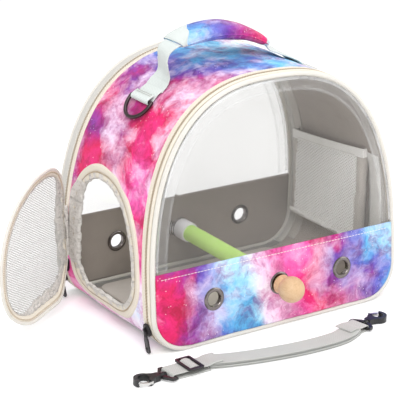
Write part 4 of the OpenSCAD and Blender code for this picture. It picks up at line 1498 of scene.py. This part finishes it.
@dataclass
class SideDoor(SubAssembly):
    """Net door that stands open on its hinge line."""

    hinge: Triple = (-0.153, 0.0658, 0.06)
    axis: Triple = (0.02, 0.1, 1.0)
    angle: float = -58.0
    off: float = 0.0013
    tooth_pitch: float = 0.0017
    net_pitch: float = 0.0021
    net_wire: float = 0.0003
    net_lift: tuple[float, float] = (0.0005, 0.0009)
    edge_w: float = 0.0076
    roll_span: tuple[float, float] = (-0.008, 0.044)
    roll_r: float = 0.0023

    def turned(self, ways: Array) -> Array:
        """Closed door's directions turned to the open door."""
        return ways @ np.array(Matrix.Rotation(math.radians(self.angle), 3, Vector(self.axis))).T

    def swing(self, at: Array) -> Array:
        """Closed door's points turned to the open door."""
        return self.turned(at - self.hinge) + self.hinge

    def build(self) -> None:
        """Piping, zip tape, gathered edge, net and hinge roll."""
        self.body = "side_door"
        loop, off = OUTLINE.loop(0.0006), self.off
        a = circle(12)
        cord = points(0.0012 + 0.0015 * np.cos(a), off + 0.0016 + 0.0014 * np.sin(a))
        tape = [(0.0022, off + 0.0022), (0.0022, off + 0.0006), (0.0045, off + 0.0003), (0.008, off + 0.0005),
                (0.008, off + 0.0017), (0.0045, off + 0.0021)]
        for name, section, finish, *nodes in (
            ("door_edge_cord", cord, PIPE_CLOTH, "door_frame"), ("door_zip_tape", tape, CREAM_TAPE),
        ):
            self.put(loft(name, self.swing(loop_rings(loop, section)), True), finish, "trim", *nodes)
        places, along, normal = wall_row(OUTLINE.loop(0.0, int(0.41 / self.tooth_pitch)), 0.0046, off + 0.0004)
        teeth = row_of("door_zip_teeth", capsule(0.0018, 0.0005, 5), self.swing(places), self.turned(along),
                       self.turned(normal))
        self.put(teeth, COIL, "coil")
        edge = loft("door_gathered_edge", self.swing(loop_rings(loop, self.gather(loop))), True)
        self.put(edge, FRILL, "strip", "door_strip")
        self.net()
        self.roll()

    def gather(self, loop: Array) -> Array:
        """Crumpled strip between tape and net, as insets and heights round the outline.

        Args:
            loop: (n, 2) outline of the opening.

        Returns:
            (n, k, 2) insets and heights.
        """
        hinge = hinge_share(loop)
        share = np.maximum(hinge, 0.75 * foot_share(loop))
        s = points(0.0, loop[:, 0], loop[:, 1])
        crumple = ripples(s, [(0.0065, 0.001), (0.015, 0.001)], 61)
        near = self.edge_w - 0.0072 * hinge
        far = 0.0084 + 0.0112 * share + crumple * (0.3 + share)
        rows = []
        for f, lift in ((0.0, 0.0005), (0.25, -0.0001), (0.5, 0.0003), (0.75, -0.0001), (1.0, 0.0005), (1.0, 0.0015),
                        (0.5, 0.0019), (0.0, 0.0017)):
            wave = ripples(s + f, [(0.006, 0.0008)], 63) * (0.3 + 0.7 * share)
            rows.append(points(near + (far - near) * f, self.off + np.clip(lift + wave, 0, 0.0022)))
        return np.stack(rows, axis=1)

    def net(self) -> None:
        """Fine net of crossing threads."""
        hole = OUTLINE.loop(0.0086)
        low, high = hole.min(0), hole.max(0)
        verts, faces = crossed_net(
            (low + high) / 2, np.linalg.norm(high - low) / 2, self.net_pitch, 0.0022, 32.0, self.net_wire,
            lambda line: inside(line, hole), lambda line, over: wall_point(line, self.off + self.net_lift[over]))
        self.put(add_mesh("door_net", self.swing(verts), faces), NET, "net", "door_mesh")

    def roll(self) -> None:
        """Rolled binding along the hinge line."""
        start, stop = self.roll_span
        t = np.linspace(start, stop, 40)
        line = self.hinge + t[:, None] * unit(np.array(self.axis))
        ends = np.clip(np.minimum(t - start, stop - t) / 0.002, 0.25, 1) ** 0.5
        wob = 1 - 0.04 * np.abs(np.sin(t * 2200))
        self.put(tube("door_hinge_roll", line, self.roll_r * ends * wob, 12), FRILL, "trim")


@dataclass
class WallPocket(SubAssembly):
    """Net pocket on the right wall."""

    inner: float = 0.1315
    wall: float = 0.139
    foot: float = 0.046
    tall: float = 0.086
    front: float = -0.049
    rear: float = 0.068
    rise: float = 0.01
    pitch: float = 0.0027
    wire: float = 0.00076

    def mouth(self, y: Array | float) -> Array:
        """Height of the net's upper edge."""
        return self.foot + self.tall + self.rise * (self.rear - y) / (self.rear - self.front)

    def build(self) -> None:
        """Net, side strips and the elastic over the mouth."""
        verts, faces = crossed_net(
            np.array([(self.front + self.rear) / 2, self.foot + self.tall / 2]), 0.09, self.pitch, 0.003, 38.0,
            self.wire, self.holds, self.belly)
        self.put(add_mesh("pocket_net_cloth", verts, faces), LIT_POCKET_NET, "net", "pocket_net")
        self.elastic()
        self.strips()

    def holds(self, flat: Array) -> Array:
        """Which depths and heights lie in the net.

        Args:
            flat: (n, 2) depths and heights.

        Returns:
            Whether each lies in the net.
        """
        y, z = flat.T
        return ((y > self.front + 0.006) & (y < self.rear - 0.006) & (z > self.foot + 0.002)
                & (z < self.mouth(y) + 0.002))

    def belly(self, flat: Array, over: bool) -> Array:
        """Places of depths and heights on the net, which swells into the room.

        Args:
            flat: (n, 2) depths and heights.
            over: whether they belong to the upper layer of threads.

        Returns:
            (n, 3) places.
        """
        swell = 0.0025 * np.sin(fade(flat[:, 0], self.front, self.rear - self.front) * math.pi)
        return points(self.inner + 0.0004 - swell + 0.0002 * over, flat[:, 0], flat[:, 1])

    def elastic(self) -> None:
        """Gathered elastic over the mouth, back to the wall at both ends."""
        x, y0, y1 = self.inner, self.front, self.rear
        line = smooth_line(np.array([
            (self.wall, y1 + 0.0004), (x + 0.003, y1 + 0.0002), (x, y1 - 0.004), (x - 0.002, (y0 + y1) / 2),
            (x, y0 + 0.004), (x + 0.003, y0 - 0.0002), (self.wall, y0 - 0.0004)]), 160)
        path = points(line[:, 0], line[:, 1], self.mouth(line[:, 1]) + 0.0045)
        band = webbing("pocket_elastic", path, [0.0, 0.0, 1.0], 0.0095, 0.0016)
        self.put(band, ELASTIC, "elastic", "pocket_binding")
        seam = stitches("pocket_seam", (path + [-0.0009, 0, -0.003])[20:-20], [-1.0, 0.0, 0.0], 0.003, 0.0021, 0.0002)
        self.put(seam, DARK_THREAD, "elastic")

    def strips(self) -> None:
        """Cloth strips down both sides, along the edge on the wall and along the foot."""
        x = self.inner
        for tag, y, lean in (("front", self.front, 1), ("rear", self.rear, -1)):
            z = np.linspace(self.foot + 0.001, self.mouth(y) + 0.004, 40)
            rows = [points(x + dx, y + lean * dy, z) for dx, dy in (
                (0.0085, 0.0), (0.004, 0.0002), (0.0012, 0.001), (0.0, 0.0035), (-0.0004, 0.007), (0.0, 0.0095))]
            self.strip(f"pocket_{tag}_strip", rows, 0.0008, FACING, (0.012, 0.0006), 71, lean < 0)
        z = np.linspace(self.foot + 0.004, self.foot + self.tall + 0.016, 40)
        wall = ARCH.at(ARCH.length_at(z), -0.0034)[0]
        rows = [points(wall + dx, self.front + dy, z) for dy, dx in (
            (0.0004, 0.0), (-0.003, -0.0006), (-0.01, -0.0009), (-0.017, -0.0006), (-0.0185, 0.0))]
        self.strip("pocket_edge_strip", rows, 0.0006, ELASTIC, (0.02, 0.0005), 75, dip=0.0004)
        rows = [points(x + dx, np.linspace(self.front, self.rear, 80), self.foot + dz) for dx, dz in (
            (0.012, 0.0), (0.006, -0.0002), (0.001, 0.0004), (0.0, 0.003), (0.0, 0.006))]
        self.strip("pocket_foot_strip", rows, 0.0008, ELASTIC)

    def strip(self, name: str, rows: list[Array], thickness: float, finish: Finish,
              wave: tuple[float, float] | None = None, seed: int = 0, flip: bool = False, dip: float = 0.0006) -> None:
        """Strip through some lines, each with its own ripple, at most dip deep towards the wall.

        Args:
            name: object name.
            rows: lines of the strip, in order across it.
            thickness: cloth thickness.
            finish: its finish.
            wave: wavelength and height of the ripples.
            seed: pattern of the first line.
            flip: turns the outer face round.
            dip: greatest move towards the wall.
        """
        grid = np.stack(rows, axis=1)
        for k, row in enumerate(rows if wave else ()):
            grid[:, k, 0] -= np.clip(ripples(row, [wave], seed + k), -dip, 0.0004)
        self.put(sheet(name, grid, thickness, flip=flip), finish, "elastic")


@dataclass
class Handle(SubAssembly):
    """Padded grip on webbing, the webbing's sewn feet and the ring tabs."""

    foot_x: float = 0.078
    foot_z: float = 0.240094
    web_w: float = 0.031
    web_t: float = 0.0014
    grip_w: float = 0.038
    grip_t: float = 0.009
    grip_under: float = 0.0085
    fold_left: float = -0.0819
    fold_right: float = 0.056
    ring_x: float = 0.101
    ring_wire: float = 0.0019

    def arch_z(self, x: Array | float) -> Array:
        """Height of the arch at a distance from the middle.

        Args:
            x: distance from the middle.

        Returns:
            Height over the ground.
        """
        power = SIZES.roundness
        rise = SIZES.height - SIZES.side_h
        return SIZES.side_h + rise * (1 - (np.abs(x) / SIZES.half_w) ** power) ** (1 / power)

    def line(self) -> Array:
        """Middle line from the left foot over the grip to the right foot.

        Returns:
            (n, 3) points.
        """
        fx, fz = self.foot_x, self.foot_z
        flat = smooth_line(np.array([
            (-fx - 0.012, self.arch_z(fx + 0.012) + 0.00095), (-fx - 0.003, fz + 0.0026), (-fx - 0.0006, fz + 0.009),
            (-fx - 0.002, fz + 0.021), (-fx, fz + 0.03), (-fx + 0.01, fz + 0.0365), (-fx + 0.024, fz + 0.0405),
            (-0.036, fz + 0.043), (-0.02, fz + 0.0436), (-0.005, fz + 0.042), (0.01, fz + 0.0386),
            (0.024, fz + 0.033), (0.036, fz + 0.0264), (0.046, fz + 0.02), (0.053, fz + 0.0154),
            (0.06, fz + 0.0116), (0.067, fz + 0.008), (fx - 0.004, fz + 0.0042),
            (fx + 0.005, self.arch_z(fx + 0.005) + 0.00095)]), 400)
        return points(flat[:, 0], SIZES.crown_y, flat[:, 1])

    def build(self) -> None:
        """Webbing loop, grip, feet and tabs."""
        self.body = "handle"
        line = self.line()
        x, z = line[:, 0], line[:, 2]
        n = len(line)
        twist = np.where(x < -0.03, 0.27 * np.sin(fade(z, self.foot_z, 0.034) * math.pi) ** 0.7, 0.0)
        dip = fade(x, 0.03, 0.012) * np.clip((z - self.arch_z(x) - 0.0022) / 0.019, 0, 0.55)
        way = points(twist, 1.0, dip)
        pinch = 1 - 0.16 * np.exp(-(((x + 0.074) / 0.01) ** 2)) * (z > self.foot_z + 0.02)
        loop = (x > self.fold_left) & (x < self.fold_right)
        first, last = np.argmax(loop), n - np.argmax(loop[::-1])
        for name, start, stop, nodes, body in (
            ("handle_web", first, last, ["handle_webbing"], None),
            ("handle_foot_left", 0, first + 1, ["handle_feet"], "carrier"),
            ("handle_foot_right", last - 1, n, [], "carrier"),
        ):
            part = slice(start, stop)
            band = webbing(name, line[part], way[part], self.web_w * pinch[part], self.web_t)
            self.put(band, WEBBING, "webbing", *nodes, body=body)
        self.grip(line[(x > -0.0683) & (x < 0.0362) & (z > self.foot_z + 0.024)])
        for sign, tag in ((-1, "left"), (1, "right")):
            self.tab(sign, tag)

    def grip(self, core: Array) -> None:
        """Padded cover, its grey cuffs and the welts along both edges.

        Args:
            core: middle line of the grip.
        """
        n = 90
        core = even(core, n)
        u = np.linspace(0, 1, n)
        full = self.grip_w / 2 * (0.8 + 0.2 * np.sin(math.pi * (0.06 + 0.88 * u)) ** 0.5)
        plump = np.sin(math.pi * (0.012 + 0.955 * u)) ** 0.42
        way = unit(np.gradient(core, axis=0))
        up = points(-way[:, 2], 0.0, way[:, 0])
        q = circle(48)
        cos, sin = np.cos(q), np.sin(q)
        wave = ripples(core[:, None] + cos[:, None] * [0, 0.02, 0], [(0.02, 0.0005)], 81)

        def shell(grow: float) -> Array:
            """Sections of the pad, made larger by grow.

            Args:
                grow: distance outward.

            Returns:
                (n, k, 3) sections.
            """
            half = (full + grow)[:, None] * np.sign(cos) * np.abs(cos) ** 0.62
            reach = np.where(sin > 0, self.grip_t - self.web_t / 2, self.grip_under)
            high = (plump[:, None] * reach + grow) * np.sign(sin) * np.abs(sin) ** 0.75 + wave * sin * plump[:, None]
            return core[:, None] + half[..., None] * [0, 1, 0] + high[..., None] * up[:, None]

        pad = self.put(loft("grip_pad", shell(0.0)), PRINT_GRIP, "print", "handle_grip")
        cover = shell(0.0005)
        for tag, start, stop in (("left", 0.0, 15 + 11 * cos), ("right", 85.5, 89 + 0 * q)):
            at = np.clip(start + np.linspace(0, 1, 16)[:, None] * (stop - start), 0, n - 1.001)
            k, column = at.astype(int), np.arange(len(q))
            part = (at - k)[..., None]
            cuff = cover[k, column] * (1 - part) + cover[k + 1, column] * part
            self.put(loft(f"grip_cuff_{tag}", cuff), WEBBING, "webbing")
        for tag, sign, start, stop, finish, slot in (
            ("front", -1, 5, 88, PRINT_GRIP, "print"), ("rear", 1, 48, 88, PRINT_GRIP, "print"),
            ("plain", 1, 18, 50, WEBBING, "webbing"),
        ):
            edge = core + np.outer(sign * (full - 0.0002), [0, 1, 0]) - up * 0.0012
            self.put(tube(f"grip_welt_{tag}", edge[start:stop], 0.0008, 8), finish, slot)

    def slope(self, x: float) -> Array:
        """Outward direction of the arch."""
        d = (self.arch_z(x + 0.001) - self.arch_z(x - 0.001)) / 0.002
        return np.array([-d, 1.0]) / math.hypot(1, d)

    def shoulder(self, x: float, height: float) -> Array:
        """Point over the left shoulder."""
        m = self.slope(x) * height
        return np.array([-x - m[0], SIZES.crown_y, self.arch_z(x) + m[1]])

    def tab(self, sign: int, tag: str) -> None:
        """Webbing that holds a ring: foot layer, eye and stitches.

        Args:
            sign: -1 for the left tab, 1 for the right one.
            tag: word for the names.
        """
        half, layer = self.web_t / 2, 0.0004
        bar = self.shoulder(self.ring_x, self.ring_wire + 0.00008 + self.web_t + layer)
        mx, mz = self.slope(self.ring_x)
        out, down = np.array([-mx, 0, mz]), np.array([-mz, 0, -mx])
        r = self.ring_wire + 0.0001 + half
        flat = [self.shoulder(x, half + layer + k * layer) for k, x in enumerate((0.083, 0.0865, 0.09, 0.0935))]
        turn = [bar + out * -r * math.cos(a) + down * r * math.sin(a) for a in np.radians(range(0, 181, 15))]
        back = [bar + out * (r - 0.0006) - down * 0.0035, bar + out * (r - 0.002) - down * 0.0075]
        line = smooth_line(np.array(flat + turn + back), 120) * [-sign, 1, 1]
        band = webbing(f"ring_tab_{tag}_web", line, [0.0, 1.0, 0.0], self.web_w - 0.0012, self.web_t * 0.92)
        self.put(band, WEBBING, "webbing", f"ring_tab_{tag}", body="carrier")
        y = SIZES.crown_y + np.linspace(-0.0135, 0.0135, 40)
        for k, below in enumerate((0.0046, 0.0066)):
            at = bar + out * (r + 0.0002) - down * below - out * 0.28 * (below - 0.0035)
            seam = stitches(f"ring_tab_{tag}_seam_{k}", points(at[0] * -sign, y, at[2] + 0.0005),
                            out * [-sign, 1, 1], 0.0026)
            self.put(seam, DARK_THREAD, "webbing", body="carrier")


@dataclass
class ShoulderStrap(SubAssembly):
    """Folded strap with its fittings, lying in front of the carrier."""

    width: float = 0.02
    thick: float = 0.0014
    layer_gap: float = 0.00025
    spreads: tuple[float, ...] = (0.0, 0.0011, -0.0002, 0.0007)
    pin: float = 0.0015
    right_at: Triple = (0.0635, -0.1405, 0.00335)
    left_at: Triple = (-0.158, -0.1335, 0.00335)

    def path(self) -> tuple[Array, Array]:
        """Middle line of the folded webbing and its width directions.

        Returns:
            Two (n, 3) arrays.
        """
        plan = smooth_line(np.array([(-114, -131), (-90, -139), (-62, -146), (-30, -151.5), (0, -154), (24, -153.5),
                                     (39, -150), (50, -145)]) / 1000, 60)
        gap = self.thick + self.layer_gap
        way = unit(np.gradient(plan, axis=0))
        across = points(-way[:, 1], way[:, 0], 0.0)
        run = np.linspace(0, 1, len(way))
        slip = fade(np.minimum(run, 1 - run), 0, 0.1)[:, None] * across[:, :2]
        line, side = [], []
        for layer, spread in enumerate(self.spreads):
            step = -1 if layer % 2 else 1
            p = (plan - slip * spread)[::step]
            line.append(points(p[:, 0], p[:, 1], self.thick / 2 + layer * gap))
            side.append(across[::step])
            for a in np.radians((-54, -18, 18, 54)) if layer < len(self.spreads) - 1 else ():
                q = p[-1] + way[::step][-1] * step * gap / 2 * math.cos(a)
                line.append([(q[0], q[1], self.thick / 2 + (layer + 0.5) * gap + gap / 2 * math.sin(a))])
                side.append(side[-1][-1:])
        return np.vstack(line), np.vstack(side)

    def end(self, left: bool) -> Array:
        """Line of a sewn end: lower tail, eye, upper tail.

        Args:
            left: whether it is the left end.

        Returns:
            (n, 3) points, the eye's middle at zero.
        """
        r = self.pin + 0.0004 + self.thick / 2
        lower = [(x, -r) for x in np.linspace(-0.04 if left else -0.0103, -0.001, 12)]
        turn = [(r * math.sin(a), -r * math.cos(a)) for a in np.radians(range(0, 181, 20))]
        if left:
            hump = ((9, 0), (6.6, 0.1), (4.6, 1.3), (2.6, 2.6), (0, 2.95), (-2.6, 2.6), (-4.6, 1.3), (-6.6, 0.1),
                    (-9, 0))
            upper = [(-2, 0), (-8, 0), *((a - 22, b) for a, b in hump), (-38, 0.1), (-42, 0.9), (-46, 1.3), (-54, 1.3)]
        else:
            upper = [(-2, 0), (-6, 0), (-10, 0.2), (-14, 1.1), (-18, 1.3), (-26, 1.3)]
        flat = np.array(lower + turn + [(a / 1000, r + b / 1000) for a, b in upper])
        line = points(flat[:, 0], 0.0, flat[:, 1])
        return smooth_line(line[np.r_[True, np.diff(lengths(line)) > 1e-5]], 200)

    def build(self) -> None:
        """Webbing first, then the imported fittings' finishes."""
        self.body = "strap"
        line, side = self.path()
        band = webbing("strap_band", line, side, self.width, self.thick * 0.8)
        self.put(band, STRAP, "strap_webbing", "strap_webbing")
        for tag, turn, at in (("left", 180, self.left_at), ("right", 12, self.right_at)):
            turned = np.array(Matrix.Rotation(math.radians(turn), 3, "Z")).T
            line = self.end(tag == "left") @ turned + at
            web = webbing(f"strap_{tag}_end_web", line, turned[1], self.width * 0.985, self.thick * 0.95)
            self.put(web, STRAP, "strap_webbing", f"strap_end_{tag}")
        for node in ("tri_glide", "hook_bracket_left", "hook_bracket_right", "hook_left", "hook_right"):
            paint(node, BLACK)
        for node in ("hook_gate_left", "hook_gate_right"):
            paint(node, STEEL)


@dataclass
class Hardware(SubAssembly):
    """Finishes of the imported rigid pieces."""

    def build(self) -> None:
        """Each node keeps its shape."""
        for finish, nodes in (
            (ZIP_METAL, ("front_slider", "front_pull", "back_slider", "back_pull")),
            (BLACK, ("door_slider", "door_pull")), (WIRE, ("ring_left", "ring_right")), (GRIT, ("perch_rod",)),
            (CAP_WHITE, ("perch_cap",)), (STEEL, ("perch_bolt",)), (MAPLE, ("perch_knob",)),
        ):
            for node in nodes:
                paint(node, finish)
                self.made.append(node)


@dataclass
class Studio:
    """Pale floor, soft lamps and the camera of the photograph."""

    eye: Triple = (-0.9431, -1.3098, 0.6881)
    ahead: Triple = (0.5519, 0.7666, -0.3282)
    above: Triple = (0.1642, 0.2859, 0.9441)
    target: Triple = (0, 0, 0.12)
    lens: float = 151.08
    shift: tuple[float, float] = (-0.0757, -0.054)
    reach: float = 6.0
    floor_z: float = -0.0002

    def hang(self, name: str, data: bpy.types.ID, at: Triple, turn: Matrix) -> Object:
        """New lamp or camera at a place.

        Args:
            name: object name.
            data: lamp or camera.
            at: its place.
            turn: its rotation.

        Returns:
            The object.
        """
        obj = bpy.data.objects.new(name, data)
        obj.matrix_world = Matrix.Translation(at) @ turn.to_4x4()
        bpy.context.scene.collection.objects.link(obj)
        return obj

    def camera(self) -> None:
        """Camera at the photograph's place."""
        cam = bpy.data.cameras.new("camera")
        cam.lens, cam.sensor_width, cam.clip_end = self.lens, 36.0, 50
        cam.shift_x, cam.shift_y = self.shift
        back = -Vector(self.ahead).normalized()
        right = Vector(self.above).cross(back).normalized()
        turn = Matrix((right, back.cross(right), back)).transposed()
        bpy.context.scene.camera = self.hang("camera", cam, self.eye, turn)

    def lamp(self, name: str, at: Triple, size: float, power: float) -> None:
        """Square soft lamp that looks at the carrier.

        Args:
            name: object name.
            at: its place.
            size: edge length.
            power: power in watts.
        """
        light = bpy.data.lights.new(name, "AREA")
        light.size, light.energy = size, power
        self.hang(name, light, at, (Vector(self.target) - Vector(at)).to_track_quat("-Z", "Y").to_matrix())

    def floor(self) -> None:
        """Wide pale floor that keeps the shadow."""
        corners = [(x, y, self.floor_z) for x in (-self.reach, self.reach) for y in (-self.reach, self.reach)]
        floor = add_mesh("floor", np.array(corners), np.array([[0, 2, 3, 1]]))
        t = Coat("pale_floor")
        path = t.add("LightPath").outputs
        through = path["Is Transmission Ray"]
        seen = t.math("MAXIMUM", t.math("MAXIMUM", path["Is Camera Ray"], path["Is Glossy Ray"]), through)
        far = t.vmath("LENGTH", t.place, result="Value")
        rise = t.math("MULTIPLY", t.math("SUBTRACT", far, 0.45), 0.9, clamp=True)
        base = t.mix("MIX", t.times(rise, seen), (0.93, 0.93, 0.93, 1), (0, 0, 0, 1))
        glow = t.weigh(seen, t.plus(0.2, t.times(rise, 0.8)),
                       through, t.plus(-0.1, t.times(rise, 0.4)))
        t.fill(t.shader, Base_Color=base, Roughness=0.9, Specular_IOR_Level=0.0, Emission_Color=(1, 1, 1, 1),
               Emission_Strength=glow)
        floor.data.materials.append(t.material)

    def world(self) -> None:
        """White surroundings, plain soft light."""
        world = bpy.data.worlds.new("studio")
        world.use_nodes = True
        bpy.context.scene.world = world
        t = Tree(world.node_tree)
        path = t.add("LightPath").outputs
        more = t.weigh(path["Is Camera Ray"], 0.26, path["Is Transmission Ray"], 0.56)
        t.fill(world.node_tree.nodes["Background"], i0=(1, 1, 1, 1), i1=t.plus(0.74, more))

    def build(self) -> None:
        """All of the studio."""
        self.camera()
        self.floor()
        self.world()
        self.lamp("key", (-1.1, -1.5, 1.9), 1.2, 31)
        self.lamp("fill", (1.8, -1.2, 1.3), 1.4, 14)
        self.lamp("top", (0.1, 0.3, 2.2), 1.6, 16)
        bpy.context.scene.view_settings.view_transform = "Standard"


def main() -> None:
    """Builds the studio, then every sub-assembly in order."""
    logging.basicConfig(level=logging.INFO, format="%(name)s %(message)s")
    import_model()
    Studio().build()
    for part in (
        Wrap(), EndZip(side=Side.FRONT), EndZip(side=Side.BACK), EndPanel(side=Side.FRONT),
        EndPanel(side=Side.BACK), SideOpening(), SideDoor(), WallPocket(), Handle(), ShoulderStrap(), Hardware(),
    ):
        part.run()


if __name__ == "__main__":
    main()
